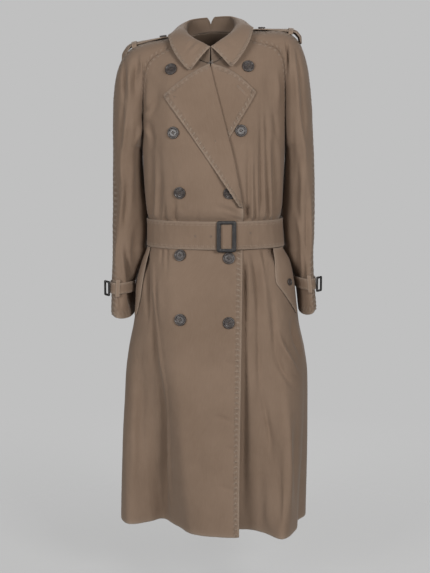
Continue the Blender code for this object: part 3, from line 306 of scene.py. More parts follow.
# Buttons on the fronts: name, x, z, and how far each is lifted off the surface.
BUTTON_RADIUS = 0.0140
BUTTON_THICK = 0.0042
BUTTONS = (
    ("button_right_1", -0.0940, -0.0628, 0.0),
    ("button_left_1", 0.0815, -0.0708, 0.0),
    ("button_right_2", -0.0885, -0.2130, 0.0),
    ("button_left_2", 0.0648, -0.2095, 0.0),
    ("button_right_3", -0.0745, -0.3500, 0.0),
    ("button_left_3", 0.0385, -0.3500, 0.0),
    ("button_right_4", -0.0745, -0.4960, 0.0011),
    ("button_left_4", 0.0378, -0.5020, 0.0008),
    ("button_right_5", -0.0738, -0.6420, 0.0),
    ("button_left_5", 0.0375, -0.6490, 0.0),
)
SMALL_RADIUS = 0.0085
SMALL_THICK = 0.0034
BUTTON_GAP = 0.0004

BUCKLE_X = (0.0080, 0.0540)
BUCKLE_Z = (-0.4145, -0.4870)
BUCKLE_BAR = 0.0100
BUCKLE_RAIL = 0.0080
BUCKLE_THICK = 0.0045
BUCKLE_TURN = 0.10        # slope of the buckle's face, following the body round
BUCKLE_ROUND = 0.006
BUCKLE_LIFT = 0.0020
BELT_TAIL_TURN = 108.0    # where the belt's end lies, turned from the front
BELT_GAP = 0.0014         # between the belt and what it lies on
BELT_CLIMB = (0.35, 0.12)   # the tail climbs onto the first turn before it meets it, in radians
BELT_FREE = 0.02
CUFF_STRAP_WIDTH = 0.025
STRAP_OUT = DOUBLE + BELT_GAP  # outer face of a wrist strap, off the sleeve
CUFF_LOOP_TURNS = (1.02, 1.28)
CUFF_LOOP_HALF = 0.021        # half the height of the loop over the strap
CUFF_LOOP_OUT = STRAP_OUT + WALL + 0.0005
CUFF_BUCKLE_SIZE = (0.024, 0.037)
CUFF_BUCKLE_HOLE = (0.013, 0.026)
CUFF_BUCKLE_AT = 0.45         # its front bar rests on the strap at this turn, in radians
CUFF_BUCKLE_SWING = 0.60      # and its face is swung this far round from sideways to the front
CUFF_BUCKLE_OFF = 0.0007      # between its front bar and the strap
CUFF_BUCKLE_THICK = 0.0045
CUFF_BUCKLE_ROUND = 0.004
CUFF_BUCKLE_DROP = 0.002
CUFF_STRAP_RIGHT = -0.580     # height of the strap's middle at the front
CUFF_STRAP_LEFT = -0.570


# ---- curves through the tables ----


def through(xs, ys, at):
    """Smooth curve through the points (xs, ys) that never overshoots them."""
    xs, ys, at = (np.asarray(values, float) for values in (xs, ys, at))
    at = np.clip(at, xs.min(), xs.max())
    if xs[0] > xs[-1]:
        xs, ys = xs[::-1], ys[::-1]
    step = np.diff(xs)
    slope = np.diff(ys) / step
    ends = np.concatenate((slope[:1], slope, slope[-1:]))
    before, after = ends[:-1], ends[1:]
    tangent = np.where(before * after > 0.0,
                       2.0 * before * after / np.where(before + after == 0.0, 1.0, before + after),
                       0.0)
    cell = np.clip(np.searchsorted(xs, at) - 1, 0, len(xs) - 2)
    width = step[cell]
    t = (at - xs[cell]) / width
    a, b = ys[cell], ys[cell + 1]
    low, high = tangent[cell] * width, tangent[cell + 1] * width
    return (a * (1 + 2 * t) * (1 - t) ** 2 + low * t * (1 - t) ** 2
            + b * t ** 2 * (3 - 2 * t) + high * t ** 2 * (t - 1))


def column(table, value_column, at, name_column=0):
    """Value of one column of a table over another one."""
    return through([row[name_column] for row in table], [row[value_column] for row in table], at)


def rise_and_fall(up, down, value):
    """From 0 to 1 between the two values of up, and back to 0 between those of down."""
    return ramp(*up, value) * (1.0 - ramp(*down, value))


def joined(*parts):
    """Parts side by side, such as x, y and z as points."""
    return np.stack(parts, axis=-1)


def ramp(low, high, value):
    """0 at low, 1 at high, smooth between."""
    t = np.clip((np.asarray(value, float) - low) / (high - low), 0.0, 1.0)
    return t * t * (3.0 - 2.0 * t)


# ---- the form of the body ----


def half_width(x, z):
    """Half the body's width, on the side on which x lies."""
    return np.where(x < 0.0, column(BODY, 1, z), column(BODY, 2, z))


def depth(x, z, face):
    """How far the body's cloth lies in front (face -1) of or behind (1) y = 0."""
    power = column(BODY, 5, z)
    reach = column(BODY, 3, z) if face < 0 else column(BODY, 4, z)
    share = np.clip(np.abs(x) / half_width(x, z), 0.0, 1.0)
    across = (1.0 - share ** power) ** (1.0 / power)
    top = column(CREST, 1, np.abs(x))
    rise = np.clip((z - CREST_FROM) / (top - CREST_FROM), 0.0, 1.0)
    return reach * across * (1.0 - rise ** CREST_POWER) ** (1.0 / CREST_POWER)


def turn_of(x, z):
    """Turn from the front, in radians, of a point of the front at x."""
    power = column(BODY, 5, z)
    share = np.clip(np.abs(x) / half_width(x, z), 0.0, 1.0)
    return np.sign(x) * np.arcsin(share ** (power / 2.0))


def fold_out(turn, z, layer):
    """How far the skirt's folds stand out: rows of turns, with one height for each row."""
    rows = [row for row in FOLDS if row[5] in (0, layer)]
    down = np.clip((SKIRT_TOP - z) / (SKIRT_TOP - HEM), 0.0, 1.0)
    places = np.array([row[0] + (row[1] - row[0]) * down for row in rows])
    heights = (HEM, KNEE, HIP, SKIRT_TOP)
    sizes = np.array([through(heights, (row[4], row[3], row[2], 0.0), z) for row in rows])
    return np.array([through(places[:, i], sizes[:, i], np.degrees(turn[i])) for i in range(len(z))])


def body_point(turn, z, out, layer):
    """Points of the body moved out: rows of turns from the front, with one height for each row."""
    out = out + fold_out(turn, z, layer)
    z = z[:, None] + np.zeros_like(turn)
    power = column(BODY, 5, z)
    side = np.sin(turn)
    ahead = np.cos(turn)
    x = half_width(side, z) * np.sign(side) * np.abs(side) ** (2.0 / power)
    reach = np.where(ahead > 0.0, column(BODY, 3, z), column(BODY, 4, z))
    y = -reach * np.sign(ahead) * np.abs(ahead) ** (2.0 / power)
    near = np.where(np.abs(turn) < math.pi / 2, np.abs(turn), math.pi - np.abs(turn))
    lead = near * (near / (math.pi / 2)) ** 2
    x = x + np.sign(side) * np.sin(lead) * out
    y = y - np.sign(ahead) * np.cos(lead) * out
    return joined(x, y, z)


def chest_point(x, z, out, face):
    """Point of the upper body at x and z on one face, moved out along y."""
    x, z = np.broadcast_arrays(np.asarray(x, float), np.asarray(z, float))
    y = face * (depth(x, z, face) + out)
    return joined(x, y, z)


def lean(points):
    """The whole coat's tilt at the shoulders."""
    moved = np.array(points, float)
    moved[..., 2] += LEAN * moved[..., 0] * ramp(UNDERARM, LEAN_FULL, points[..., 2])
    return moved


def neck_point(share, side):
    """Point of the neck seam; side is -1 on the wearer's right and 1 on the left."""
    shares, xs, zs, faces = zip(*NECK)
    ys = [face * float(depth(np.array(x), np.array(z), face)) if face else 0.0
          for x, z, face in zip(xs, zs, faces)]
    x, y, z = (through(shares, values, share) for values in (xs, ys, zs))
    return joined(side * x + NECK_X, y, z)


def raglan_point(share, side, face):
    """Point of a raglan seam on the body."""
    x = side * column(RAGLAN, 1 if side < 0 else 2, share)
    x = x + NECK_X * (1.0 - ramp(*NECK_SHIFTS, share))
    return chest_point(x, column(RAGLAN, 3 if face < 0 else 4, share), 0.0, face)


def unit(vectors):
    """The vectors, each with length 1."""
    size = np.linalg.norm(vectors, axis=-1, keepdims=True)
    return vectors / np.maximum(size, 1e-9)


def normals_of(grid, around=False):
    """Unit normals of a grid of points, pointing to the side that rows x columns face."""
    if around:
        across = np.roll(grid, -1, axis=1) - np.roll(grid, 1, axis=1)
    else:
        across = np.gradient(grid, axis=1)
    return unit(np.cross(np.gradient(grid, axis=0), across))


def raised(grid, height):
    """The grid moved out along its normals."""
    return grid + normals_of(grid) * height[..., None]


SIDES = ("first_column", "last_column")
LONG_EDGES = ("first_row", "last_row")


def trimmed(grid, gap, sides):
    """The grid with its named edges drawn in by a gap."""
    result = grid.copy()
    pairs = {"first_row": (np.s_[0], np.s_[1]), "last_row": (np.s_[-1], np.s_[-2]),
             "first_column": (np.s_[:, 0], np.s_[:, 1]), "last_column": (np.s_[:, -1], np.s_[:, -2])}
    for side in sides:
        edge, inside = pairs[side]
        result[edge] = grid[edge] + unit(grid[inside] - grid[edge]) * gap
    return result


def front_edge(z, side):
    """x of the edge of a front: the roll line above the break, straight below."""
    share = np.clip((z - LAPEL_ROLL_TOP) / (BREAK - LAPEL_ROLL_TOP), 0.0, 1.0)
    top = LAPEL_ROLL_RIGHT if side < 0 else LAPEL_ROLL_LEFT
    end = -side * OVERLAP
    roll = top + (end - top) * share - side * LAPEL_BOW * np.sin(math.pi * share ** 2)
    straight = -side * (OVERLAP - EDGE_SLOPE * ramp(BREAK, HEM, z))
    return np.where(z > BREAK, roll, straight)


def over_lap(x, z, side):
    """How far a front is moved out: the wearer's right front lies over the left one."""
    if side > 0:
        return np.zeros_like(x + z)
    layers = 1.0 + ramp(*LAPEL_ROOM, z)
    return PITCH * layers * ramp(*LAP_SETTLES, x)


def patch_row(down, share, top, bottom, first, last):
    """Row of a patch with four given edges; down runs from 0 at its top to 1."""
    middle = (1.0 - down) * top + down * bottom
    share = share[:, None]
    return middle + (1.0 - share) * (first - middle[0]) + share * (last - middle[-1])


def bezier(ends, t):
    """Points at shares t of the cubic curve with four given points."""
    first, second, third, fourth = ends
    t = t[:, None]
    return (first * (1 - t) ** 3 + 3 * second * t * (1 - t) ** 2
            + 3 * third * t ** 2 * (1 - t) + fourth * t ** 3)


def front_room(share, face):
    """How far the front half of a sleeve is drawn out beside the body."""
    return FRONT_ROOM * rise_and_fall(*ROOM_SHARES, share) * (face < 0)


def arm(side, share):
    """A sleeve under the armhole: outer and inner x, z, middle y, reach and the inner seam's set-back."""
    pick = 1 if side < 0 else 2
    return [float(column(SLEEVE_ARM, value, share)) for value in (pick, pick + 2, 5, 6, 7, 8)]


def shoulder_section(share, side, face, t):
    """Section of half a sleeve above the underarm, where its inner seam is the raglan seam."""
    x, z, reach_out, reach_in, slide = (float(column(SLEEVE_TOP, value, share))
                                        for value in (1 if side < 0 else 2, 3, 4, 5, 6))
    outer = np.array((side * x + NECK_X * float(1.0 - ramp(*NECK_SHIFTS, share)), 0.0, z))
    inner = raglan_point(np.array(share), side, face)
    away = (outer - inner) * (1.0, 0.0, 1.0)
    reach = np.array((0.0, float(face), 0.0))
    return bezier((outer, outer + reach * reach_out, inner + away * slide + reach * reach_in, inner), t)


def sleeve_section(share, side, face, t):
    """Section of half a sleeve, from the outer seam to the inner one."""
    if share <= 1.0:
        return shoulder_section(share, side, face, t)
    outer_x, inner_x, z, middle, reach, back = arm(side, share)
    outer = np.array((side * outer_x, middle, z))
    inner = np.array((side * inner_x, middle + back, z))
    forward = np.array((0.0, face * reach, 0.0))
    room = np.array((side * front_room(share, face), 0.0, 0.0))
    full = SLEEVE_FULL * rise_and_fall(*FULL_SHARES, share) * (face < 0)
    points = bezier((outer, outer + forward, inner + forward * (1.0 + full) + room, inner), t)
    low = ramp(*CUFF_SHARES, share)
    which = 0 if side < 0 else 1
    points[:, 2] += low * CUFF_DIP * (points[:, 1] - middle) / CUFF_REACH
    across = (points[:, 0] - side * inner_x) / (side * outer_x - side * inner_x)
    points[:, 2] += low * CUFF_TILT[which] * (across - CUFF_PIVOT[which])
    return points


def crowded(count):
    """Shares from 0 to 1 that lie closer together at the ends."""
    share = np.linspace(0.0, 1.0, count)
    return share - EDGE_CROWDING * np.sin(2.0 * math.pi * share) / (2.0 * math.pi)


def run(grid, axis):
    """Length along the rows (axis 1) or columns (axis 0) of a grid, from its first point."""
    step = np.linalg.norm(np.diff(grid, axis=axis), axis=-1)
    first = np.zeros_like(np.take(step, [0], axis=axis))
    return np.concatenate((first, np.cumsum(step, axis=axis)), axis=axis)


def from_edge(grid, edge):
    """Distance of every point from one edge of its grid, and its place along that edge."""
    axis = 1 if "column" in edge else 0
    away = run(grid, axis)
    if "last" in edge:
        away = np.take(away, [-1], axis=axis) - away
    return away, run(grid, 1 - axis)


# ---- listed folds ----


def creases(x, z, rows):
    """Height of the folds at points: each fold runs along a bowed line from one end to the other."""
    total = np.zeros_like(x)
    for *sizes, skew, peak in rows:
        x0, z0, x1, z1, bow, wide, high = (size / 1000.0 for size in sizes)
        length = math.hypot(x1 - x0, z1 - z0)
        ax, az = (x1 - x0) / length, (z1 - z0) / length
        share = ((x - x0) * ax + (z - z0) * az) / length
        inside = np.clip(share, 0.0, 1.0)
        aside = (z - z0) * ax - (x - x0) * az - 4.0 * bow * inside * (1.0 - inside)
        beyond = (share - inside) * length
        width = wide * np.where(aside > 0.0, 1.0 + skew, 1.0 - skew)
        rise = ramp(0.0, peak, share) if peak > 0.0 else 1.0
        fall = 1.0 - ramp(peak, 1.0, share) if peak < 1.0 else 1.0
        total += high * rise * fall * np.exp(-(aside / width) ** 2 - (beyond / wide) ** 2)
    return total


COCKLE_BEND = (0.7, 0.8)  # each wave bends this much more often than it runs down, and by this, in radians
COCKLE = (
    # waves a metre across, waves a metre down, phase, height
    (9.0, 1.7, 0.4, 0.00050),
    (15.0, -3.1, 2.1, 0.00040),
    (23.0, 5.3, 4.0, 0.00028),
    (37.0, -9.0, 1.3, 0.00016),
    (52.0, 21.0, 5.2, 0.00010),
)


def cockle(across, down):
    """The slight waviness of worn cotton."""
    total = np.zeros_like(across + down)
    often, by = COCKLE_BEND
    for wide, tall, phase, high in COCKLE:
        bend = by * np.sin(2.0 * math.pi * down * tall * often + phase)
        total += high * np.sin(2.0 * math.pi * (across * wide + down * tall) + phase + bend)
    return total


# ---- stitched seams ----
PUCKER = 0.0125           # length of one pucker along a seam
PUCKER_SLANT = 0.010      # a pucker moves along by its length over this distance from the edge
GROOVE = 0.0013           # half width of the groove that a row of stitches pulls in
GROOVE_DEPTH = 0.0005
STITCH_PITCH = 0.0046
STITCH_LENGTH = 0.0033
STITCH_RADIUS = 0.00042
STITCH_SINK = 0.0003
ROD_BENDS = (0.82, 0.18)  # shares of its length between which a stitch is thick
PUCKER_WANDER = ((1.6, 41.0, 0.0), (0.9, 97.0, 1.0))  # radians, radians a metre along the seam, phase
PUCKER_FAINT = (0.25, 23.0, 2.0)   # share of the height, radians a metre along the seam, phase
PUCKER_MIDDLE = 0.55      # the puckers are highest here, as a share of the stitches' distance
LADDER_SPAN = (0.8, 0.9, 1.5)     # and their mark is full, fades and ends at these shares
STITCH_START = 0.25       # the first stitch starts after this share of the pitch


def puckered(grid, edge, offset, high, reach):
    """Height that a row of stitches gives the cloth near one edge."""
    away, along = from_edge(grid, edge)
    phase = 2.0 * math.pi * (along / PUCKER + 0.5 * away / PUCKER_SLANT)
    wave = phase
    for swing, rate, start in PUCKER_WANDER:
        wave = wave + swing * np.sin(along * rate + start)
    share, rate, start = PUCKER_FAINT
    strength = (1.0 - share) + share * np.sin(along * rate + start)
    band = np.exp(-((away - PUCKER_MIDDLE * offset) / reach) ** 2)
    groove = GROOVE_DEPTH * np.exp(-((away - offset) / GROOVE) ** 2)
    return high * strength * band * np.sin(wave) - groove


def sewn(grid, flip, sewing):
    """The grid with puckers along its rows of stitches."""
    height = sum(puckered(grid, edge, offset, high, reach)
                 for edge, offset, _, _, _, high, reach in sewing if high > 0.0)
    return raised(grid, height * (-1.0 if flip else 1.0))


def plain_rows(edges, offset, first=0.0, last=1.0):
    """Rows of stitches that pull no puckers."""
    return tuple((edge, offset, first, last, 0.0, 0.0, 0.0) for edge in edges)


def stitch_line(grid, out, edge, offset, first, last):
    """Points and normals of a row of stitches at a distance from one edge."""
    away, _ = from_edge(grid, edge)
    if "column" not in edge:
        grid, out, away = (np.swapaxes(values, 0, 1) for values in (grid, out, away))
    count = len(grid)
    points = []
    for row in range(int(first * (count - 1)), int(last * (count - 1)) + 1):
        order = np.argsort(away[row])
        points.append([[np.interp(offset, away[row][order], values[row][order][:, axis]) for axis in range(3)]
                       for values in (grid, out)])
    points = np.array(points)
    return points[:, 0], unit(points[:, 1])


def along_line(line, places):
    """Points and normals at distances along a line of stitches."""
    points, normals = line
    so_far = run(points[:, None], 0)[:, 0]
    at, out = (joined(*(np.interp(places, so_far, values[:, axis]) for axis in range(3)))
               for values in (points, normals))
    return at, unit(out)


def rods(starts, ends, normals, radius, sink=STITCH_SINK):
    """Points and faces of short rods with sunken tips, one for each pair of points."""
    along = unit(ends - starts)
    across = unit(np.cross(normals, along))
    low = -normals * sink
    rings = [starts + low]
    for near, far in (ROD_BENDS, ROD_BENDS[::-1]):
        for up, over in ((1.0, 0.0), (0.0, 1.0), (-1.0, 0.0), (0.0, -1.0)):
            rings.append(starts * near + ends * far + radius * (normals * up + across * over))
    rings.append(ends + low)
    points = np.stack(rings, axis=1).reshape(-1, 3)
    one = [(0, 1 + k, 1 + (k + 1) % 4) for k in range(4)]
    one += [(1 + k, 5 + k, 5 + (k + 1) % 4, 1 + (k + 1) % 4) for k in range(4)]
    one += [(9, 5 + (k + 1) % 4, 5 + k) for k in range(4)]
    faces = [tuple(10 * i + v for v in face) for i in range(len(starts)) for face in one]
    return points, faces


def make_stitches(name, lines):
    """All the stitches of one piece, as one mesh."""
    starts, ends, normals = [], [], []
    for line in lines:
        total = float(np.linalg.norm(np.diff(line[0], axis=0), axis=-1).sum())
        places = np.arange(STITCH_START * STITCH_PITCH, total - STITCH_LENGTH, STITCH_PITCH)
        first, out = along_line(line, places)
        starts.append(first)
        ends.append(along_line(line, places + STITCH_LENGTH)[0])
        normals.append(out)
    points, faces = rods(*map(np.concatenate, (starts, ends, normals)), STITCH_RADIUS)
    return mesh_object(f"stitches_{name}", points, faces, "thread")


# ---- meshes ----
MATERIALS = {}


def add_object(name, data):
    """A new object of the scene."""
    made = bpy.data.objects.new(name, data)
    bpy.context.scene.collection.objects.link(made)
    return made


def mesh_object(name, points, faces, material):
    """A smooth piece of one material that rides on the coat."""
    mesh = bpy.data.meshes.new(name)
    mesh.from_pydata(np.asarray(points, float).tolist(), [], faces)
    mesh.materials.append(MATERIALS[material])
    mesh.polygons.foreach_set("use_smooth", [True] * len(mesh.polygons))
    mesh.update()
    piece = add_object(name, mesh)
    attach(piece, "root")
    return piece


def rims_of(rows, columns, around):
    """Each border of a grid: its points, their neighbours further in, and their rows and columns."""
    if around:
        index = np.arange(rows * columns).reshape(rows, columns)
        return [(index[0], index[1], None), (index[-1][::-1], index[-2][::-1], None)]
    loop = [(0, c) for c in range(columns)] + [(r, columns - 1) for r in range(1, rows)]
    loop += [(rows - 1, c) for c in range(columns - 2, -1, -1)] + [(r, 0) for r in range(rows - 2, 0, -1)]
    border = np.array(loop)
    inside = np.clip(border, 1, (rows - 2, columns - 2))
    return [(border @ (columns, 1), inside @ (columns, 1), border)]


def on_seams(border, rows, columns, seams):
    """Which points of a border lie on the edges named in seams."""
    found = np.zeros(len(border), bool)
    for seam in seams:
        axis, end = (1, columns - 1) if "column" in seam else (0, rows - 1)
        found |= border[:, axis] == (end if "last" in seam else 0)
    return found


def ladder_marks(outer, sewing):
    """Distance from a stitched edge, distance along it and strength of its puckers, for the material."""
    marks = np.zeros(outer.shape)
    for edge, offset, _, _, strength, *_ in sewing:
        away, along = from_edge(outer, edge)
        full, fades, ends = (share * offset for share in LADDER_SPAN)
        power = strength * (1.0 - ramp(fades, ends, away)) * ramp(0.0, full, away)
        stronger = power > marks[..., 2]
        marks[stronger] = joined(away, along, power)[stronger]
    return marks


def shell(name, outer, thick, flip=False, around=False, seams=(), sewing=(), edge_wear_and_highlight=EDGE_WEAR_AND_HIGHLIGHT,
          turned_in=0, shaded=0.0):
    """Closed cloth on an outer grid: free edges are rounded, and those named in seams are cut back.

    Seen from outside, rows run down and columns run to the right, unless flip is set.
    sewing is a table of rows of stitches: edge, distance from it, the shares of the edge between
    which it runs, strength of its ladder of puckers, then the height and reach of real puckers.
    turned_in is how many of the first rows lie inside the coat and get painted shade,
    as do the inner face, half of the rims and the places where shaded is 1, under other pieces.
    """
    out = normals_of(outer, around) * (-1.0 if flip else 1.0)
    inner = trimmed(outer - out * thick, MITRE, seams)
    rows, columns = outer.shape[:2]
    half = rows * columns
    index = np.arange(half).reshape(rows, columns)
    across = np.concatenate((index, index[:, :1]), axis=1) if around else index
    squares = joined(across[:-1, :-1], across[1:, :-1], across[1:, 1:], across[:-1, 1:]).reshape(-1, 4)
    quads = [squares, squares[:, ::-1] + half]
    points = [outer.reshape(-1, 3), inner.reshape(-1, 3)]
    rims = rims_of(rows, columns, around)
    base = 2 * half
    for loop, near, border in rims:
        push = unit(points[0][loop] - points[0][near]) * thick * EDGE_ROUND
        if seams:
            push[on_seams(border, rows, columns, seams)] = 0.0
        points.append((points[0][loop] + points[1][loop]) / 2.0 + push)
        ring = base + np.arange(len(loop))
        base += len(loop)
        following, after = np.roll(loop, -1), np.roll(ring, -1)
        quads.append(joined(loop, following, after, ring))
        quads.append(joined(ring, after, following + half, loop + half))
    quads = np.concatenate(quads)
    if flip:
        quads = quads[:, ::-1]
    piece = mesh_object(f"{name}_cloth", np.concatenate(points), quads.tolist(), "cloth")
    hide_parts(name)

    def spread_out(outside, inside, rim):
        """Values at all the piece's points: outer ones, inner ones and those of the rims."""
        return np.concatenate([outside, inside] + [rim[loop] for loop, _, _ in rims])

    # lengths on the cloth, for the weave
    flat = joined(run(outer, 1), run(outer, 0)).reshape(-1, 2)
    corners = np.zeros(len(piece.data.loops), int)
    piece.data.loops.foreach_get("vertex_index", corners)
    layer = piece.data.uv_layers.new(name="cloth")
    layer.data.foreach_set("uv", spread_out(flat, flat + INNER_WEAVE, flat)[corners].ravel())
    # how near each point is to a free edge, for its wear and painted highlight
    worn_and_lit = np.zeros((rows, columns))
    for edge in LONG_EDGES + SIDES:
        if edge not in seams and not (around and "column" in edge):
            worn_and_lit = np.maximum(worn_and_lit, np.exp(-from_edge(outer, edge)[0] / edge_wear_and_highlight))
    worn_and_lit = worn_and_lit.reshape(-1)
    # painted shade: where the cloth lies inside the coat or under other pieces, it is darker
    inside = np.zeros((rows, columns)) + shaded
    inside[:turned_in] = 1.0
    marks = ladder_marks(outer, sewing).reshape(-1, 3)
    point_layer(piece, "edge_wear_and_highlight", "FLOAT", spread_out(worn_and_lit, worn_and_lit, np.ones(half)))
    point_layer(piece, "inside", "FLOAT", spread_out(inside.reshape(-1), np.ones(half), np.full(half, 0.5)))
    point_layer(piece, "stitched", "FLOAT_VECTOR", spread_out(marks, 0.0 * marks, marks))
    lines = [stitch_line(outer, out, *row[:4]) for row in sewing if row[2] is not None]
    if lines:
        make_stitches(name, lines)


def point_layer(piece, name, kind, values):
    """Values at a piece's points, for its material."""
    layer = piece.data.attributes.new(name, kind, "POINT")
    layer.data.foreach_set("value" if kind == "FLOAT" else "vector", values.ravel())


# ---- materials ----
COAT = (0.250, 0.173, 0.122)
COAT_DARK = (0.207, 0.140, 0.096)
COAT_PALE = (0.345, 0.265, 0.205)
THREAD = (0.345, 0.262, 0.195)
HORN_DARK = (0.028, 0.022, 0.020)
HORN_LIGHT = (0.100, 0.082, 0.075)
BLACK = (0.022, 0.020, 0.020)
BLACK_RUBBED = (0.060, 0.054, 0.052)
WIRE_DARK = (0.42, 0.41, 0.40)
WIRE_LIGHT = (0.72, 0.71, 0.70)


def node(tree, kind, sockets=None, **settings):
    """A new shader node; sockets give its inputs values, or other nodes' outputs."""
    made = tree.nodes.new(kind)
    for key, value in settings.items():
        setattr(made, key, value)
    for key, value in (sockets or {}).items():
        if isinstance(value, bpy.types.NodeSocket):
            tree.links.new(value, made.inputs[key])
        else:
            made.inputs[key].default_value = value
    return made


def object_place(tree):
    """The place on the coat."""
    return node(tree, "ShaderNodeTexCoord").outputs["Object"]


def noise(tree, vector, scale, detail, **more):
    """Cloudy noise of a scale, at the places of a vector."""
    sockets = {"Vector": vector, "Scale": scale, "Detail": detail, **more}
    return node(tree, "ShaderNodeTexNoise", sockets).outputs[0]


def waves(tree, vector, pitch, distortion, detail, detail_scale, **settings):
    """Bands one pitch apart."""
    sockets = {"Vector": vector, "Scale": WAVE_PERIOD / pitch, "Distortion": distortion, "Detail": detail,
               "Detail Scale": detail_scale}
    return node(tree, "ShaderNodeTexWave", sockets, **settings).outputs["Fac"]


def mapped(tree, vector, **sockets):
    """A vector turned or scaled."""
    return node(tree, "ShaderNodeMapping", {"Vector": vector, **sockets}).outputs[0]


def product(tree, first, second):
    """Two values multiplied."""
    return node(tree, "ShaderNodeMath", {0: first, 1: second}, operation="MULTIPLY").outputs[0]


def mark(tree, name):
    """The node that reads one of the cloth's marks."""
    return node(tree, "ShaderNodeAttribute", attribute_name=name).outputs


def mixed(tree, share, first, second):
    """Colour between two others; each may be a colour or a socket."""
    first, second = ((*value, 1.0) if isinstance(value, tuple) else value for value in (first, second))
    made = node(tree, "ShaderNodeMix", {0: share, 6: first, 7: second}, data_type="RGBA")
    return made.outputs[2]


def spread(tree, value, low, high, bottom=0.0, top=1.0):
    """A value that goes from bottom to top while another goes from low to high."""
    made = node(tree, "ShaderNodeMapRange", {0: value, 1: low, 2: high, 3: bottom, 4: top})
    return made.outputs[0]


def bumped(tree, height, distance, strength, before=None):
    """Normals tipped by a height, on top of those from before."""
    sockets = {"Height": height, "Distance": distance, "Strength": strength}
    if before is not None:
        sockets["Normal"] = before
    return node(tree, "ShaderNodeBump", sockets).outputs["Normal"]


def new_material(name, roughness, **sockets):
    """A material, its nodes and its shader, whose sockets are named with _ for a space."""
    material = bpy.data.materials.new(name)
    material.use_nodes = True
    tree = material.node_tree
    shader = tree.nodes["Principled BSDF"]
    shader.inputs["Roughness"].default_value = roughness
    for key, value in sockets.items():
        shader.inputs[key.replace("_", " ")].default_value = value
    return material, tree, shader


def plug(tree, shader, **sockets):
    """Join nodes' outputs to the shader's sockets."""
    for key, value in sockets.items():
        tree.links.new(value, shader.inputs[key.replace("_", " ")])


def tint(colour, share):
    """A darker shade of a colour."""
    return tuple(share * value for value in colour)


TWILL_PITCH = 0.0011      # from one rib of the weave to the next
TWILL_TURN = math.radians(63.0)
WAVE_PERIOD = 0.314       # of a wave texture whose scale is 1
LADDER_PITCH = 0.0112     # of the puckers along a row of stitches
LADDER_SLANT = 0.5
CREST_SPAN = (0.45, 1.0)  # parts of the waves that are crests
DIP_SPAN = (0.32, 0.02)   # and dips
CREST_PALE = 0.75         # how pale the puckers' crests are: wear on them, and a painted highlight
DIP_DARK = 0.34           # how dark the painted shade in the dips between them is
DIP_SHADE = 0.62          # and of which share of the dark colour
INSIDE_DARK = 0.60        # how dark the painted shade inside the coat is
INSIDE_SHADE = 0.45
STREAK_SCALE = (420.0, 36.0, 1.0) # streaks of uneven yarn, for each metre across and along
STREAK_PALE = (0.3, 0.75, 0.0, 0.16)  # how they pale the cloth
FADE_SCALE = 5.5          # clouds of fading, for each metre
FADE_SPAN = (0.35, 0.68)  # from the dark colour to the full one
RUB_AND_HIGHLIGHT_SPAN = (0.3, 0.7, 0.40, 0.90)     # how much of the edges' wear and painted highlight shows, by the fading
WEAVE_DARK = 0.13         # how far the lines of the twill go towards the dark colour
RUMPLE_SCALE = 38.0       # soft lumps, for each metre
FUZZ_SCALE = 1400.0       # and the roughness of the yarn


def make_ladder(tree):
    """Crests and dips of the puckers along the rows of stitches: crests for wear and a painted highlight,
    dips for painted shade.
    """
    marks = mark(tree, "stitched")["Vector"]
    power = node(tree, "ShaderNodeSeparateXYZ", {0: marks}).outputs["Z"]
    slanted = mapped(tree, marks, Rotation=(0.0, 0.0, LADDER_SLANT))
    ticks = waves(tree, slanted, LADDER_PITCH, 1.3, 1.0, 2.4, bands_direction="Y")
    return [product(tree, spread(tree, ticks, *span), power) for span in (CREST_SPAN, DIP_SPAN)]


def make_cloth():
    """Gabardine: a steep twill with uneven yarns, slight fading, edges and pucker crests paled by wear and a
    painted highlight, and painted shade in the dips and inside.
    """
    material, tree, shader = new_material("cloth", 0.82, Sheen_Weight=0.22, Sheen_Roughness=0.45,
                                          Sheen_Tint=(0.86, 0.80, 0.74, 1.0), Specular_IOR_Level=0.28)
    flat = node(tree, "ShaderNodeUVMap", uv_map="cloth").outputs[0]
    place = object_place(tree)
    turned = mapped(tree, flat, Rotation=(0.0, 0.0, TWILL_TURN))
    twill = waves(tree, turned, TWILL_PITCH, 1.2, 2.0, 2.0)
    streak = noise(tree, mapped(tree, flat, Scale=STREAK_SCALE), 1.0, 3.0)
    faded = noise(tree, place, FADE_SCALE, 4.0, Roughness=0.6)
    crest, dip = make_ladder(tree)
    colour = mixed(tree, spread(tree, faded, *FADE_SPAN), COAT_DARK, COAT)
    colour = mixed(tree, spread(tree, streak, *STREAK_PALE), colour, COAT_PALE)
    colour = mixed(tree, spread(tree, twill, 0.0, 1.0, 0.0, WEAVE_DARK), colour, COAT_DARK)
    # free edges and rims paler: wear, and a painted highlight
    rubbed_and_lit = product(tree, mark(tree, "edge_wear_and_highlight")["Fac"], spread(tree, faded, *RUB_AND_HIGHLIGHT_SPAN))
    colour = mixed(tree, rubbed_and_lit, colour, COAT_PALE)
    # pucker crests paled by wear and a painted highlight; dips and the inside darkened by painted shade
    for share, most, shade in ((crest, CREST_PALE, COAT_PALE), (dip, DIP_DARK, tint(COAT_DARK, DIP_SHADE)),
                               (mark(tree, "inside")["Fac"], INSIDE_DARK, tint(COAT_DARK, INSIDE_SHADE))):
        colour = mixed(tree, spread(tree, share, 0.0, 1.0, 0.0, most), colour, shade)
    face = bumped(tree, crest, 0.0016, 0.8)
    face = bumped(tree, noise(tree, place, RUMPLE_SCALE, 3.0), 0.0016, 0.55, face)
    face = bumped(tree, twill, 0.00022, 0.5, face)
    face = bumped(tree, noise(tree, turned, FUZZ_SCALE, 2.0), 0.00020, 0.45, face)
    plug(tree, shader, Base_Color=colour, Roughness=spread(tree, streak, 0.2, 0.8, 0.74, 0.90), Normal=face)
    return material


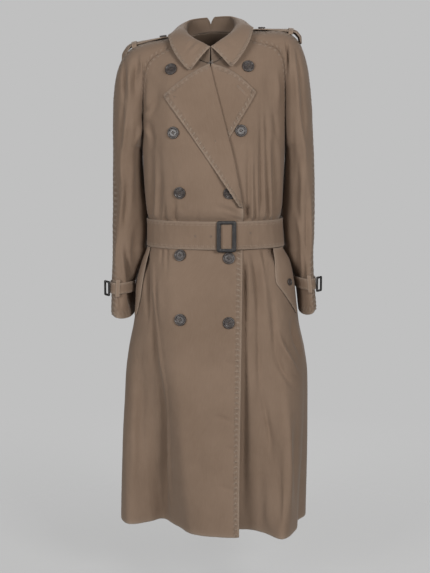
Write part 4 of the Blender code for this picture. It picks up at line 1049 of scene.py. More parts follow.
def make_thread(name, dark, light):
    """Twisted thread between two colours."""
    material, tree, shader = new_material(name, 0.6, Sheen_Weight=0.2)
    grain = noise(tree, object_place(tree), 900.0, 2.0)
    plug(tree, shader, Base_Color=mixed(tree, grain, dark, light), Normal=bumped(tree, grain, 0.0002, 0.6))
    return material


def make_horn():
    """Polished horn-like resin with cloudy streaks."""
    material, tree, shader = new_material("horn", 0.38, Coat_Weight=0.20, Coat_Roughness=0.30)
    place = object_place(tree)
    long = mapped(tree, place, Rotation=(0.3, 0.5, 0.7), Scale=(150.0, 60.0, 420.0))
    cloud = noise(tree, long, 1.0, 5.0, Distortion=0.8)
    colour = mixed(tree, spread(tree, cloud, 0.38, 0.72), HORN_DARK, HORN_LIGHT)
    plug(tree, shader, Base_Color=colour, Roughness=spread(tree, cloud, 0.3, 0.7, 0.30, 0.48),
         Normal=bumped(tree, noise(tree, place, 2600.0, 2.0), 0.00006, 0.4))
    return material


def make_leather():
    """Black leather over the buckles' frames: fine grain and rubbed high spots."""
    material, tree, shader = new_material("leather", 0.46, Specular_IOR_Level=0.45)
    place = object_place(tree)
    grain = node(tree, "ShaderNodeTexVoronoi", {"Vector": place, "Scale": 900.0}, feature="DISTANCE_TO_EDGE")
    rub = noise(tree, place, 160.0, 3.0)
    colour = mixed(tree, spread(tree, rub, 0.5, 0.8), BLACK, BLACK_RUBBED)
    plug(tree, shader, Base_Color=colour, Roughness=spread(tree, rub, 0.3, 0.7, 0.52, 0.38),
         Normal=bumped(tree, spread(tree, grain.outputs[0], 0.0, 0.12), 0.00012, 0.5))
    return material


def make_wire():
    """Bright bent wire, lightly scratched along its length."""
    material, tree, shader = new_material("wire", 0.24, Metallic=1.0)
    scratches = noise(tree, object_place(tree), 1500.0, 3.0)
    plug(tree, shader, Base_Color=mixed(tree, scratches, WIRE_DARK, WIRE_LIGHT),
         Roughness=spread(tree, scratches, 0.3, 0.7, 0.18, 0.34))
    return material


def make_materials():
    """Every material of the coat, by name."""
    MATERIALS.update(cloth=make_cloth(), thread=make_thread("thread", COAT, THREAD),
                     dark_thread=make_thread("dark_thread", HORN_LIGHT, COAT_DARK),
                     horn=make_horn(), leather=make_leather(), wire=make_wire())


# Folds of the cloth, in millimetres: x and z of both ends, how far the line bows
# out, half width, height (below 0 a trough), how much softer its upper side
# is than its lower one, and where along it the fold is highest.
FRONT_FOLDS = (
    # x0, z0, x1, z1, bow, half width, height, skew, peak
    # gathers above the belt on the wearer's left
    (83, -190, 83.5, -425, 0, 5, -7.7, 0, 0.9),
    (90.5, -220, 90.5, -425, 1, 4, 4.5, 0, 0.9),
    (97.5, -235, 97, -425, 0, 3.8, -6.6, 0, 0.88),
    (109, -110, 109.8, -425, 3, 6, -9.4, 0.2, 0.8),
    (117, -170, 117.5, -425, 2, 4, 5.4, 0, 0.86),
    (119, -120, 125.8, -425, 4, 4.6, -8.6, 0, 0.88),
    (130, -200, 133.5, -425, 2, 4.2, 5.4, 0, 0.9),
    (138.5, -165, 142.5, -425, 4, 5.6, -8.6, -0.2, 0.86),
    (138.5, -160, 153, -245, 1, 5, -4.8, 0, 0.45),
    (120, -168, 131, -245, 1, 5, -3.7, 0, 0.5),
    (150, -180, 156, -410, 3, 6, 5.4, 0, 0.6),
    # softer ones on the wearer's right
    (-144, -170, -140.5, -425, 0, 8, -7.7, 0.2, 0.8),
    (-134, -250, -131, -425, 0, 5, 5.1, 0, 0.85),
    (-126.5, -190, -122, -425, 2, 8, -6.4, 0, 0.8),
    (-109, -350, -108, -425, 0, 3.6, -5.7, 0, 1),
    (-86.5, -345, -86.5, -425, 0, 3.6, -5.3, 0, 1),
    (-97, -250, -87, -425, 2, 10, -4, 0, 0.85),
    (-34, -375, -33, -425, 0, 3.4, -3.3, 0, 1),
    # from the shoulder and the underarm
    (-148, -60, -150, -200, 0, 5.6, 5.4, 0.3, 0.5),
    (-134, -132, -160, -186, 3, 4.4, 6.9, 0, 0.6),
    (-124, -150, -156, -150, 8, 8, -4, 0, 0.6),
    (-158.5, -190, -145, -232, 1, 3.6, 6, 0, 0.5),
    (-150, -178, -136, -260, 3, 6, -5.5, 0, 0.5),
    (-123, -85, -140, -170, 2, 10, -3.3, 0, 0.5),
    (124, -60, 132, -170, 1, 11, -3.3, 0, 0.5),
    (148, -70, 151, -180, 1, 6, 5.1, 0, 0.5),
    # drag lines towards the break of the lapels
    (-10, -379, 70, -404, 4, 6.5, -4.8, 0, 0.62),
    (6, -398, 68, -413, 2, 4, -3.4, 0, 0.6),
    # under the belt, the wearer's right: the deep fold beside the front panel
    (-153.5, -478, -153, -668, 0, 4.6, -21.8, -0.3, 0.45),
    (-142, -480, -99, -900, -6, 4.2, 6.8, -0.3, 0.45),
    (-113, -760, -98.5, -1165, 0, 4, 11.5, -0.4, 0.55),
    (-128, -720, -115, -1165, 2, 10, -21.8, 0.4, 0.5),
    (-142, -560, -132, -800, 2, 8, -8, 0, 0.5),
    (-118, -475, -119.5, -535, 0, 3.6, -5.3, 0, 0),
    (-106, -475, -106.5, -560, 0, 3.6, -4.4, 0, 0),
    (-124, -520, -122, -700, 0, 7, 4.1, 0, 0.4),
    (-170, -700, -172, -1050, 2, 14, -6.9, 0, 0.4),
    (-188, -760, -195, -1120, 2, 10, 5.4, 0, 0.5),
    # under the belt, the wearer's left
    (130, -470, 145, -514, 0, 3.2, -12.6, 0, 0.1),
    (142, -470, 148, -530, 0, 3.4, -13.8, 0, 0.1),
    (90.5, -475, 106, -720, 7, 7, -12.1, 0.3, 0.35),
    (79, -475, 85, -640, 1, 5.2, 5.9, 0, 0.3),
    (112, -475, 125, -680, 3, 7, 6.5, 0, 0.3),
    (116, -475, 122, -600, 2, 4, -4.6, 0, 0.2),
    (134, -560, 148, -760, 3, 7, -6.9, 0, 0.5),
    (106, -630, 112.5, -850, 0, 6, -7.1, 0, 0.5),
    (111, -800, 139, -980, 3, 5.5, -7.4, 0.3, 0.6),
    (150, -660, 220, -798, -12, 5.6, 11.5, 0, 0.5),
    (144, -700, 206, -822, -12, 8, -9.2, 0, 0.5),
    (186, -640, 216, -755, -3, 6, -11.5, 0, 0.45),
    (196, -650, 226, -770, -3, 5, 6.8, 0, 0.5),
    (178, -820, 181, -1150, 0, 8, 10.1, 0, 0.5),
    (199, -840, 201, -1130, 0, 10, -8, 0, 0.5),
    (156, -900, 155, -1150, 0, 11, -8, 0, 0.7),
    (130, -980, 132, -1160, 1, 9, 5.4, 0, 0.7),
    # the front panel: almost smooth, with slight pulls from its edge
    (-11, -862, 57, -887, 3, 5.5, -2.6, 0, 0.62),
    (25, -936, 57, -951, 1, 4.2, -2, 0, 0.6),
    (18, -735, 60, -751, 1, 4.5, -1.8, 0, 0.6),
    (5, -1030, 57, -1046, 2, 5, -2, 0, 0.6),
    (-30, -680, -34, -1130, 3, 19, -4, 0, 0.6),
    (15, -560, 18, -900, -2, 16, -2.8, 0, 0.5),
    (-70, -700, -64, -1120, 2, 18, 3, 0, 0.6),
)
# Troughs of the under front alone, beside the upper one's edge.
UNDER_FOLDS = (
    # x0, z0, x1, z1, bow, half width, height, skew, peak
    (80, -370, 80, -412, 0, 5, -10, 0, 0.6),
    (77, -486, 76, -700, 0, 6.2, -15, 0, 0.3),
    (77.2, -480, 76.4, -920, 0, 3.2, -9, 0, 0.35),
    (78.5, -372, 78.8, -425, 0, 3, -8, 0, 0.7),
    (76, -600, 74, -1160, 0, 8, -12, 0, 0.6),
)
BACK_FOLDS = (
    # x0, z0, x1, z1, bow, half width, height, skew, peak
    # from the shoulder blades
    (-135, -80, -56, -260, 10, 11, -6.5, 0.2, 0.4),
    (138, -90, 64, -280, -12, 12, -7.1, -0.2, 0.45),
    (-148, -150, -115, -420, 6, 9, -7.8, 0, 0.8),
    (150, -140, 126, -420, -4, 9, -8.1, 0, 0.8),
    (-52, -15, 45, -22, 6, 8, -2.2, 0, 0.5),
    # gathers above the belt
    (-98, -260, -96, -425, 1, 6, -6.8, 0, 0.9),
    (-76, -310, -77, -425, 0, 4.2, -5.3, 0, 0.95),
    (-56, -200, -54, -425, 2, 7.2, -7.4, 0.1, 0.85),
    (-33, -330, -33, -425, 0, 4, -4.7, 0, 0.95),
    (-11, -240, -13, -425, 1, 6, -6.2, 0, 0.88),
    (13, -350, 12, -425, 0, 3.8, -4, 0, 0.95),
    (34, -220, 33, -425, -2, 6.8, -7.8, -0.1, 0.86),
    (58, -300, 56, -425, 0, 4.6, -5.6, 0, 0.92),
    (80, -250, 79, -425, 1, 6, -6.8, 0, 0.9),
    (103, -320, 101, -425, 0, 4.4, -5.3, 0, 0.94),
    # gathers below it
    (-122, -470, -132, -640, 2, 6, -8.8, 0, 0.1),
    (-93, -470, -98, -760, 3, 8, -9.5, 0.1, 0.2),
    (-64, -470, -66, -580, 0, 4.6, -6.3, 0, 0.05),
    (-41, -470, -44, -840, 2, 9, -8.8, 0, 0.25),
    (-10, -470, -10, -620, 0, 5.2, -7, 0, 0.1),
    (22, -470, 26, -900, 3, 9.5, -9.1, 0, 0.25),
    (52, -470, 55, -570, 0, 4.8, -6.3, 0, 0.05),
    (78, -470, 86, -720, -2, 8, -9.1, 0, 0.2),
    (109, -470, 121, -660, 0, 6.2, -8, 0, 0.1),
    (138, -480, 164, -740, -3, 9, -8.8, 0, 0.3),
    (-156, -640, -172, -960, 4, 11, -8.8, 0, 0.5),
    (10, -820, 4, -1150, 2, 12, -7.7, 0, 0.6),
    # ridges between them, and long soft falls down to the hem
    (-86, -290, -86, -425, 0, 3.6, 3.6, 0, 0.92),
    (-44, -300, -43, -425, 0, 4, 4, 0, 0.92),
    (23, -290, 22, -425, 0, 3.6, 3.6, 0, 0.92),
    (69, -270, 68, -425, 0, 4, 4, 0, 0.92),
    (-108, -475, -114, -700, 2, 6, 5.6, 0, 0.2),
    (-53, -475, -56, -690, 1, 5.6, 5.2, 0, 0.2),
    (38, -475, 41, -740, 1, 6, 5.4, 0, 0.2),
    (94, -475, 103, -680, -1, 5.6, 5.2, 0, 0.2),
    (-118, -700, -130, -1160, 5, 15, -9, 0.2, 0.6),
    (-70, -780, -74, -1165, -3, 11, 8, 0, 0.65),
    (-40, -860, -42, -1165, 2, 13, -7.5, -0.1, 0.65),
    (48, -760, 54, -1165, 4, 14, -8.5, 0.1, 0.6),
    (90, -820, 96, -1165, 0, 11, 7.8, 0, 0.65),
    (128, -720, 142, -1150, -4, 14, -8.8, 0, 0.6),
)
SLEEVE_FOLDS = {
    # x0, z0, x1, z1, bow, half width, height, skew, peak
    (-1, -1): (
        (-176, -10, -176.5, -150, 1, 9, -12, 0.1, 0.4),
        (-177, -130, -180, -420, 3, 6, -3, 0.1, 0.45),
        (-166, -12, -162.5, -110, 1, 3.4, 5, 0, 0.4),
        (-204, -22, -206, -150, -1, 4.6, -9, 0.2, 0.45),
        (-205.5, -120, -214, -260, 0, 4.4, -6, 0, 0.4),
        (-191.2, -30, -192.5, -160, 1, 5, 6.2, 0, 0.45),
        (-192.5, -120, -213.5, -290, 3, 4.8, 7, 0, 0.5),
        (-211, -230, -207, -370, -2, 5, 5, 0, 0.5),
        (-207.5, -320, -222.5, -470, 2, 5, 6.8, 0, 0.5),
        (-220, -430, -232.5, -560, 2, 5, 6, 0, 0.5),
        (-225, -290, -230, -430, 0, 6, -5, 0, 0.5),
        (-162, -180, -185, -262, 2, 4.2, 6, 0, 0.5),
        (-185, -240, -196, -420, 2, 6, 3.6, 0, 0.5),
        (-199, -300, -210, -460, 3, 6.2, -6.2, 0, 0.5),
        (-207.5, -460, -189, -660, 3, 6.6, -21, -0.2, 0.6),
        (-216, -450, -203, -640, 2, 5, 5, 0, 0.5),
        (-220, -545, -218, -650, 0, 4.4, -4.4, 0, 0.4),
        (-181, -420, -188, -560, 2, 7, -8, 0, 0.5),
    ),
    (-1, 1): (
        (-214, -60, -202, -260, 4, 9, -9, 0, 0.5),
        (-196, -140, -208, -380, -3, 8, -9, 0, 0.5),
        (-184, -60, -190, -240, 3, 7, 4, 0, 0.5),
        (-222, -290, -190, -390, 6, 6.2, -8.5, 0, 0.5),
        (-224, -330, -193, -425, 6, 5.5, 4.5, 0, 0.5),
        (-224, -370, -188, -455, 6, 6.2, -8.5, 0, 0.45),
        (-206, -420, -214, -600, 2, 8, -8.5, 0, 0.55),
        (-224, -520, -223, -640, 0, 5, -4.5, 0, 0.5),
    ),
    (1, -1): (
        (170.2, -6, 171.6, -105, 1, 3, -12, 0, 0.5),
        (177, -20, 179, -120, 0, 5, 4, 0, 0.4),
        (190, -24, 207.5, -150, 2, 4.6, -8, 0.1, 0.5),
        (205, -120, 213.5, -260, 1, 5, -7.5, 0.1, 0.4),
        (185, -40, 200, -210, 2, 5.6, 5.2, 0, 0.5),
        (199.5, -150, 218, -330, 3, 5.6, 5.8, 0, 0.5),
        (183, -110, 180, -420, 4, 6, -3, 0, 0.5),
        (196, -240, 200, -440, -2, 8, -7, 0, 0.5),
        (210, -280, 213, -470, -2, 6.4, 4.4, 0, 0.5),
        (229, -320, 232, -570, 0, 4.2, 5.6, 0, 0.5),
        (221.5, -340, 223, -560, 0, 5, -5, 0, 0.5),
        (196, -430, 204, -600, 2, 5.6, -9.5, 0, 0.6),
        (203, -430, 211, -580, 1, 4, 4.4, 0, 0.6),
        (212, -470, 216.5, -610, 1, 5, -5.6, 0, 0.6),
        (190, -390, 214, -500, 5, 5.6, 4.6, 0, 0.5),
    ),
    (1, 1): (
        (212, -50, 206, -250, -4, 9, -9, 0, 0.5),
        (198, -160, 213, -400, 3, 8, -9, 0, 0.5),
        (185, -70, 190, -250, -3, 7, 4, 0, 0.5),
        (224, -310, 200, -410, -6, 6.2, -8, 0, 0.5),
        (226, -350, 201, -440, -6, 5.5, 4.5, 0, 0.5),
        (227, -390, 202, -470, -5, 6.2, -8, 0, 0.45),
        (210, -440, 219, -620, 2, 8, -8.5, 0, 0.55),
    ),
}


# ---- fronts and back ----
BUTTON_CLEAR = 0.020
BELT_PRESS = 0.006        # the folds flatten over this height next to the belt
BLOUSE = 0.0045
BLOUSE_RISE = 0.014
BLOUSE_HIGH = 0.110
SEAM_CALM = 10            # power of the calm that the folds keep near a seam
FRONT_COCKLE = 0.7        # share of the cockle's full height
BACK_WAVES_DOWN = 0.31    # the back's cockle is another part of the same waves
BACK_STEP = 1.1 * ROW_STEP    # between two rows of the back's skirt


def clear_of_buttons(x, z):
    """0 at the buttons, 1 away from them."""
    clear = np.ones_like(x)
    for _, bx, bz, _ in BUTTONS:
        clear = clear * (1.0 - np.exp(-(((x - bx) ** 2 + (z - bz) ** 2) / BUTTON_CLEAR ** 2) ** 2))
    return clear


def free_of_belt(z):
    """0 under the belt, 1 away from it."""
    half = (BELT_TOP - BELT_BOTTOM) / 2.0
    return ramp(half - BELT_PRESS, half + 0.5 * BELT_PRESS, np.abs(z - (BELT_TOP + BELT_BOTTOM) / 2.0))


LAPEL_NEAR = 0.012        # the folds flatten over this distance next to a lapel
LAPEL_INSIDE = (-0.004, -0.002)   # from just inside its free edge, and its roll


def under_lapels(x, z):
    """0 under either lapel, 1 away from both."""
    free = np.ones_like(x)
    for side, (tip_x, tip_z) in ((-1, LAPEL_TIP_RIGHT), (1, LAPEL_TIP_LEFT)):
        end_x = float(front_edge(np.array(BREAK), side)) + side * LAPEL_BREAK_WIDTH
        along = unit(np.array((end_x - side * tip_x, BREAK - tip_z)))
        below = ((x - side * tip_x) * along[1] - (z - tip_z) * along[0]) * -side
        within = (x - front_edge(z, side)) * side
        covered = 1.0 - ramp(LAPEL_INSIDE[0], LAPEL_NEAR, below)
        covered = covered * ramp(-LAPEL_NEAR, LAPEL_INSIDE[1], within) * ramp(BREAK - LAPEL_NEAR, BREAK, z)
        free = free * (1.0 - covered)
    return free


def blouse(z):
    """How far the cloth bellies out over the top of the belt."""
    return BLOUSE * rise_and_fall((0.0, BLOUSE_RISE), (BLOUSE_RISE, BLOUSE_HIGH), z - BELT_TOP)


def front_height(x, z):
    """Folds of both fronts; they share them, so that one never comes through the other."""
    height = creases(x, z, FRONT_FOLDS) + FRONT_COCKLE * cockle(x, z) + blouse(z)
    height = np.where(height > 0.0, height * under_lapels(x, z), height)
    return height * free_of_belt(z) * clear_of_buttons(x, z)


def stacked_rows(top, bottom, step=ROW_STEP):
    """Heights one step apart."""
    return np.linspace(top, bottom, int(abs(bottom - top) / step) + 1)


def front_grid(side):
    """Outer points of one front: side is -1 on the wearer's right, over the other."""
    share = crowded(FRONT_COLUMNS)
    low = np.array([UNDERARM])
    start = turn_of(front_edge(low, side), low)
    turns = start + (side * math.pi / 2 - start) * share[None]
    bottom = body_point(turns, low, 0.0, side)[0]
    neck = neck_point(NECK_FRONT_SHARE * share, side)
    upper = np.linspace(0.0, 1.0, int((LAPEL_ROLL_TOP - UNDERARM) / ROW_STEP))
    edge_z = LAPEL_ROLL_TOP + (UNDERARM - LAPEL_ROLL_TOP) * upper
    edge = joined(front_edge(edge_z, side), np.zeros_like(edge_z), edge_z)
    seam = raglan_point(upper, side, -1)
    rows = np.array([patch_row(down, share, neck, bottom, edge[i], seam[i]) for i, down in enumerate(upper)])
    x, z = rows[..., 0], rows[..., 2]
    chest = chest_point(x, z, over_lap(x, z, side), -1)
    heights = stacked_rows(UNDERARM, HEM)[1:]
    start = turn_of(front_edge(heights, side), heights)[:, None]
    turns = start + (side * math.pi / 2 - start) * share
    flat = body_point(turns, heights, 0.0, side)
    skirt = body_point(turns, heights, over_lap(flat[..., 0], heights[:, None], side), side)
    grid = np.concatenate((chest, skirt))
    x, z = grid[..., 0], grid[..., 2]
    height = front_height(x, z)
    if side > 0:
        height = height + creases(x, z, UNDER_FOLDS) * clear_of_buttons(x, z)
    return raised(grid, side * height * (1.0 - share ** SEAM_CALM))[:, ::-side]


def back_grid():
    """Outer points of the back, from the wearer's left side seam to the right one."""
    share = crowded(BACK_COLUMNS)
    turns = math.pi / 2 + math.pi * share
    wrapped = np.where(turns > math.pi, turns - 2 * math.pi, turns)[None]
    bottom = body_point(wrapped, np.array([UNDERARM]), 0.0, 0)[0]
    aside = np.abs(2.0 * share - 1.0)
    blend = NECK_BACK_SHARE + (1.0 - NECK_BACK_SHARE) * (1.0 - aside)
    neck = np.where((share < 0.5)[:, None], neck_point(blend, 1), neck_point(blend, -1))
    upper = np.linspace(0.0, 1.0, int((LAPEL_ROLL_TOP - UNDERARM) / ROW_STEP))
    left, right = raglan_point(upper, 1, 1), raglan_point(upper, -1, 1)
    rows = np.array([patch_row(down, share, neck, bottom, left[i], right[i]) for i, down in enumerate(upper)])
    top = chest_point(rows[..., 0], rows[..., 2], 0.0, 1)
    heights = stacked_rows(UNDERARM, HEM, BACK_STEP)[1:]
    skirt = body_point(np.repeat(wrapped, len(heights), axis=0), heights, 0.0, 0)
    grid = np.concatenate((top, skirt))
    x, z = grid[..., 0], grid[..., 2]
    height = (creases(x, z, BACK_FOLDS) + cockle(x, z + BACK_WAVES_DOWN) + blouse(z)) * free_of_belt(z)
    return raised(grid, height * (1.0 - aside ** SEAM_CALM))[:, ::-1]


FRONT_STITCH = 0.0110     # from the front's edge
SEAM_STITCH = 0.0060      # from a seam
EDGE_PUCKER = 0.00100
EDGE_REACH = 0.010
EDGE_FROM = 0.30          # share of the front's rows above the break, where its edge turns back
EDGE_FADE = (0.04, 0.02)  # below that its puckers come over this share, and its stitches start
SEAM_PUCKER = 0.00060
SEAM_LADDER = 0.8
FRONT_SEAM = (0.165, 0.172, 0.19)   # the puckers fade, the stitches end and the puckers end at these
BACK_SEAM = (0.19, 0.20, 0.22)      # shares of the rows, near the underarm
SEAM_UNDER = 0.0008       # the back's side edges run this far under the fronts
SEAM_UNDER_DEEP = 0.0006
SEAM_UNDER_POWER = 200    # only the outermost columns are drawn under
THROAT_DARK = (-0.074, -0.060)    # above this the fronts get painted shade, as they lie in the collar's shade
THROAT_WIDE = (0.034, 0.046)


def rows_of(grid):
    """Share of each row, from 0 at the top to 1 at the bottom, as a column."""
    return (np.arange(len(grid)) / (len(grid) - 1.0))[:, None]


def make_fronts():
    """Both fronts, stitched along the free edge and down the raglan seam."""
    for name, side in (("front_right", -1), ("front_left", 1)):
        free, seam = SIDES[::side]
        grid = trimmed(lean(front_grid(side)), SEAM / 2, SIDES)[:, ::-1]
        rows = rows_of(grid)
        edged = ramp(EDGE_FROM, EDGE_FROM + EDGE_FADE[0], rows)
        seamed = 1.0 - ramp(FRONT_SEAM[0], FRONT_SEAM[2], rows)
        height = puckered(grid, free, FRONT_STITCH, EDGE_PUCKER, EDGE_REACH) * edged
        height += puckered(grid, seam, SEAM_STITCH, SEAM_PUCKER, SEAM_STITCH) * seamed
        grid = raised(grid, height)
        # painted shade on the fronts under the collar
        shaded = ramp(*THROAT_DARK, grid[..., 2]) * (1.0 - ramp(*THROAT_WIDE, np.abs(grid[..., 0])))
        shell(name, grid, WALL, seams=(seam,), shaded=shaded, sewing=(
            (free, FRONT_STITCH, EDGE_FROM + EDGE_FADE[1], 1.0, edged),
            (seam, SEAM_STITCH, 0.0, FRONT_SEAM[1], SEAM_LADDER * seamed)))


def make_back():
    """The back, whose side edges run just under the fronts."""
    grid = trimmed(lean(back_grid()), -SEAM_UNDER, SIDES)[:, ::-1]
    under = np.abs(np.linspace(-1.0, 1.0, grid.shape[1])) ** SEAM_UNDER_POWER
    grid = raised(grid, -SEAM_UNDER_DEEP * under[None])
    seamed = 1.0 - ramp(BACK_SEAM[0], BACK_SEAM[2], rows_of(grid))
    height = sum(puckered(grid, edge, SEAM_STITCH, SEAM_PUCKER, SEAM_STITCH) for edge in SIDES)
    grid = raised(grid, height * seamed)
    shell("back", grid, WALL, seams=SIDES, sewing=[
        (edge, SEAM_STITCH, 0.0, BACK_SEAM[1], SEAM_LADDER * seamed) for edge in SIDES])


# ---- sleeves ----
OUTER_STITCH = 0.0360     # the front half's outer seam is a wide lapped one
OUTER_PUCKER = 0.00130
OUTER_REACH = 0.55        # of its puckers, as a share of the stitches' distance
OUTER_SPAN = (0.10, 0.99) # its stitches run between these shares of the rows
OUTER_LADDER = 1.3        # strength of the ladder of puckers along it,
CUFF_LADDER = 0.5         # along the hem
INNER_LADDER = 0.6        # and along the inner seam, near the armhole
BACK_STITCH = 0.0070
INNER_PUCKERS = (0.40, 0.48)      # those of the inner seam end over these shares of its rows
UNDERARM_EASE = 0.16      # the corner under the arm is eased over this share to both sides
EASE_POWERS = (0.6, 0.5)  # and most between the seams, by these powers
EASE_PASSES = 90
SLEEVE_TUCK = 0.006       # below the belt the inner seam falls this much closer to the skirt
TUCK_DOWN = ((0.478, 0.494), (0.515, 0.550))   # between these depths
CUFF_STITCH = 0.0150
SLEEVE_ROWS = (80, 100)   # above the underarm and below it
SLEEVE_COCKLE = 0.8       # share of the cockle's full height
SLEEVE_WAVES = (0.3, 0.2) # each half's cockle is another part of the same waves, across and down
SLEEVE_CALM = 0.08        # the folds start over this share of the rows, below the neck seam


def smoothed(grid, passes):
    """Rows evened out with their neighbours; the first and last ones stay."""
    for _ in range(passes):
        grid = np.concatenate((grid[:1], (grid[:-2] + 2.0 * grid[1:-1] + grid[2:]) / 4.0, grid[-1:]))
    return grid


def sleeve_grid(side, face, shares):
    """Outer points of half a sleeve, with the underarm's corner eased but the seams kept."""
    t = crowded(SLEEVE_COLUMNS)
    grid = np.array([sleeve_section(share, side, face, t) for share in shares])
    between = np.sin(math.pi * t ** EASE_POWERS[0]) ** EASE_POWERS[1]
    near = np.exp(-((shares - 1.0) / UNDERARM_EASE) ** 2)[:, None] * between
    grid = grid + (smoothed(grid, EASE_PASSES) - grid) * near[..., None]
    grid[..., 0] -= side * (SLEEVE_TUCK * rise_and_fall(*TUCK_DOWN, -grid[..., 2]) * t ** 3)
    height = creases(grid[..., 0], grid[..., 2], SLEEVE_FOLDS[side, face])
    height += SLEEVE_COCKLE * cockle(grid[..., 0] + SLEEVE_WAVES[0] * face,
                                     grid[..., 2] + SLEEVE_WAVES[1] * side)
    calm = (1.0 - np.abs(2.0 * t - 1.0) ** SEAM_CALM) * ramp(0.0, SLEEVE_CALM, shares)[:, None]
    return raised(grid, height * calm * (side * face))


def sleeve_sewing(face, rows):
    """A sleeve's rows of stitches: its outer seam, its hem and puckers alone near the armhole."""
    offset = OUTER_STITCH if face < 0 else BACK_STITCH
    high = OUTER_PUCKER * offset / OUTER_STITCH
    inner = INNER_LADDER * (1.0 - ramp(*INNER_PUCKERS, rows))
    return (("first_column", offset, *OUTER_SPAN, OUTER_LADDER, high, OUTER_REACH * offset),
            ("last_row", CUFF_STITCH, 0.0, 1.0, CUFF_LADDER, 0.0, 0.0),
            ("last_column", SEAM_STITCH, None, None, inner, 0.0, 0.0))


def make_sleeves():
    """Both halves of both sleeves."""
    above, below = SLEEVE_ROWS
    shares = np.concatenate((np.linspace(0.0, 1.0, above), np.linspace(1.0, SLEEVE_ARM[-1][0], below)[1:]))
    for side_name, side in (("right", -1), ("left", 1)):
        for face_name, face in (("front", -1), ("back", 1)):
            flip = side * face < 0
            grid = trimmed(lean(sleeve_grid(side, face, shares)), SEAM / 2, SIDES)
            grid = trimmed(grid, SEAM, ("first_row",))
            sewing = sleeve_sewing(face, rows_of(grid))
            shell(f"sleeve_{side_name}_{face_name}", sewn(grid, flip, sewing), WALL, flip=flip,
                  seams=SIDES + ("first_row",), sewing=sewing)


# ---- lapels ----
LAPEL_ROWS = 116
LAPEL_COLUMNS = 44
LAPEL_STITCH = 0.0085
LAPEL_PUCKER = 0.00085
ROLL_RADIUS = 0.0026      # of the roll where the front turns back
ROLL_STEPS = 8
LAPEL_STAND_POWER = 0.6   # how fast the upper lapel's stand comes, from its roll to its edge
LAPEL_CURL = 0.0022       # the free edge stands this much off the front
CURL_POWER = 5            # most of it close to the edge
CURL_WAVE = (0.6, 0.4, 9.0)   # its waves down the edge: middle, swing and rate
LAPEL_WAVES_ASIDE = 0.13  # its cockle is another part of the same waves
TIP_ROUND = (0.0035, 0.05)    # how far the tip is cut back, and over which share of the edge
NOTCH_POWER = 3           # how fast the notch's curve dies away down the lapel
LAPEL_CLEAR = 0.015       # the left one lies flat to this far outside the right front's edge
LAPEL_COCKLE = 0.6        # share of the cockle's full height
LAPEL_SEWING = (
    # edge, distance, first and last share, ladder, height and reach of the puckers
    ("last_column", LAPEL_STITCH, 0.06, 1.0, 1.0, LAPEL_PUCKER, 0.008),
    ("first_row", LAPEL_STITCH, 0.30, 0.93, 0.7, 0.5 * LAPEL_PUCKER, 0.006),
)


def lapel_grid(side):
    """Outer points of a lapel: rows run down the roll line, columns from behind the roll outwards."""
    tip_x, tip_z = LAPEL_TIP_RIGHT if side < 0 else LAPEL_TIP_LEFT
    down = np.linspace(0.0, 1.0, LAPEL_ROWS)
    share = crowded(LAPEL_COLUMNS)
    roll_z = LAPEL_ROLL_TOP + (BREAK - LAPEL_ROLL_TOP) * down
    roll_x = front_edge(roll_z, side)
    end_x = front_edge(np.array(BREAK), side) + side * LAPEL_BREAK_WIDTH
    edge_x = side * tip_x + (end_x - side * tip_x) * down
    edge_z = tip_z + (BREAK + LAPEL_END_RISE - tip_z) * down
    edge_x = edge_x - side * (TIP_ROUND[0] * np.exp(-down / TIP_ROUND[1] * 3.0))
    x = roll_x[:, None] + (edge_x - roll_x)[:, None] * share
    z = roll_z[:, None] + (edge_z - roll_z)[:, None] * share
    notch_x, notch_z = LAPEL_NOTCH
    line_z = LAPEL_ROLL_TOP + (tip_z - LAPEL_ROLL_TOP) * notch_x / tip_x
    down = down[:, None]
    z = z + (notch_z - line_z) * np.sin(math.pi * share) * (1.0 - down) ** NOTCH_POWER
    stand = LAPEL_LIFT * share ** LAPEL_STAND_POWER * ramp(*LAPEL_LIFT_FROM, down) if side < 0 else 0.0
    clear = 1.0 if side < 0 else ramp(0.0, LAPEL_CLEAR, x - front_edge(z, -1))
    middle, swing, rate = CURL_WAVE
    curl = LAPEL_CURL * share ** CURL_POWER * (middle + swing * np.sin(down * rate + side)) * clear
    wave = LAPEL_COCKLE * cockle(x + LAPEL_WAVES_ASIDE, z) * np.sin(math.pi * share) * clear
    face = chest_point(x, z, over_lap(x, z, side) + PITCH + stand + curl + wave, -1)
    angles = np.linspace(math.pi, 0.0, ROLL_STEPS + 1)[None, :-1, None]
    first = face[:, :1]
    inward = unit(face[:, 1:2] - first)
    centre = first + np.array((0.0, ROLL_RADIUS, 0.0))
    roll = centre + ROLL_RADIUS * (np.cos(angles) * np.array((0.0, -1.0, 0.0)) - np.sin(angles) * inward)
    return np.concatenate((roll, face), axis=1)


BUTTONHOLE = (0.0664, -0.1196)    # middle of the one on the left lapel
BUTTONHOLE_LENGTH = 0.030
TACKS = ((-0.0850, -0.1343), (0.0058, -0.2330))   # bar tacks on the right lapel, x and z
BUTTONHOLE_ALONG = (1.0, 0.0, -0.97)
TACK_LENGTH = 0.0045
TACK_WIDTH = 0.0014
TACK_ALONG = (0.6, 0.0, -1.0)


def spot_on(grid, outward, x, z):
    """The point of a grid nearest to a place seen from the front, and its normal."""
    spot = np.unravel_index(np.argmin(np.hypot(grid[..., 0] - x, grid[..., 2] - z)), grid.shape[:2])
    return grid[spot], outward[spot]


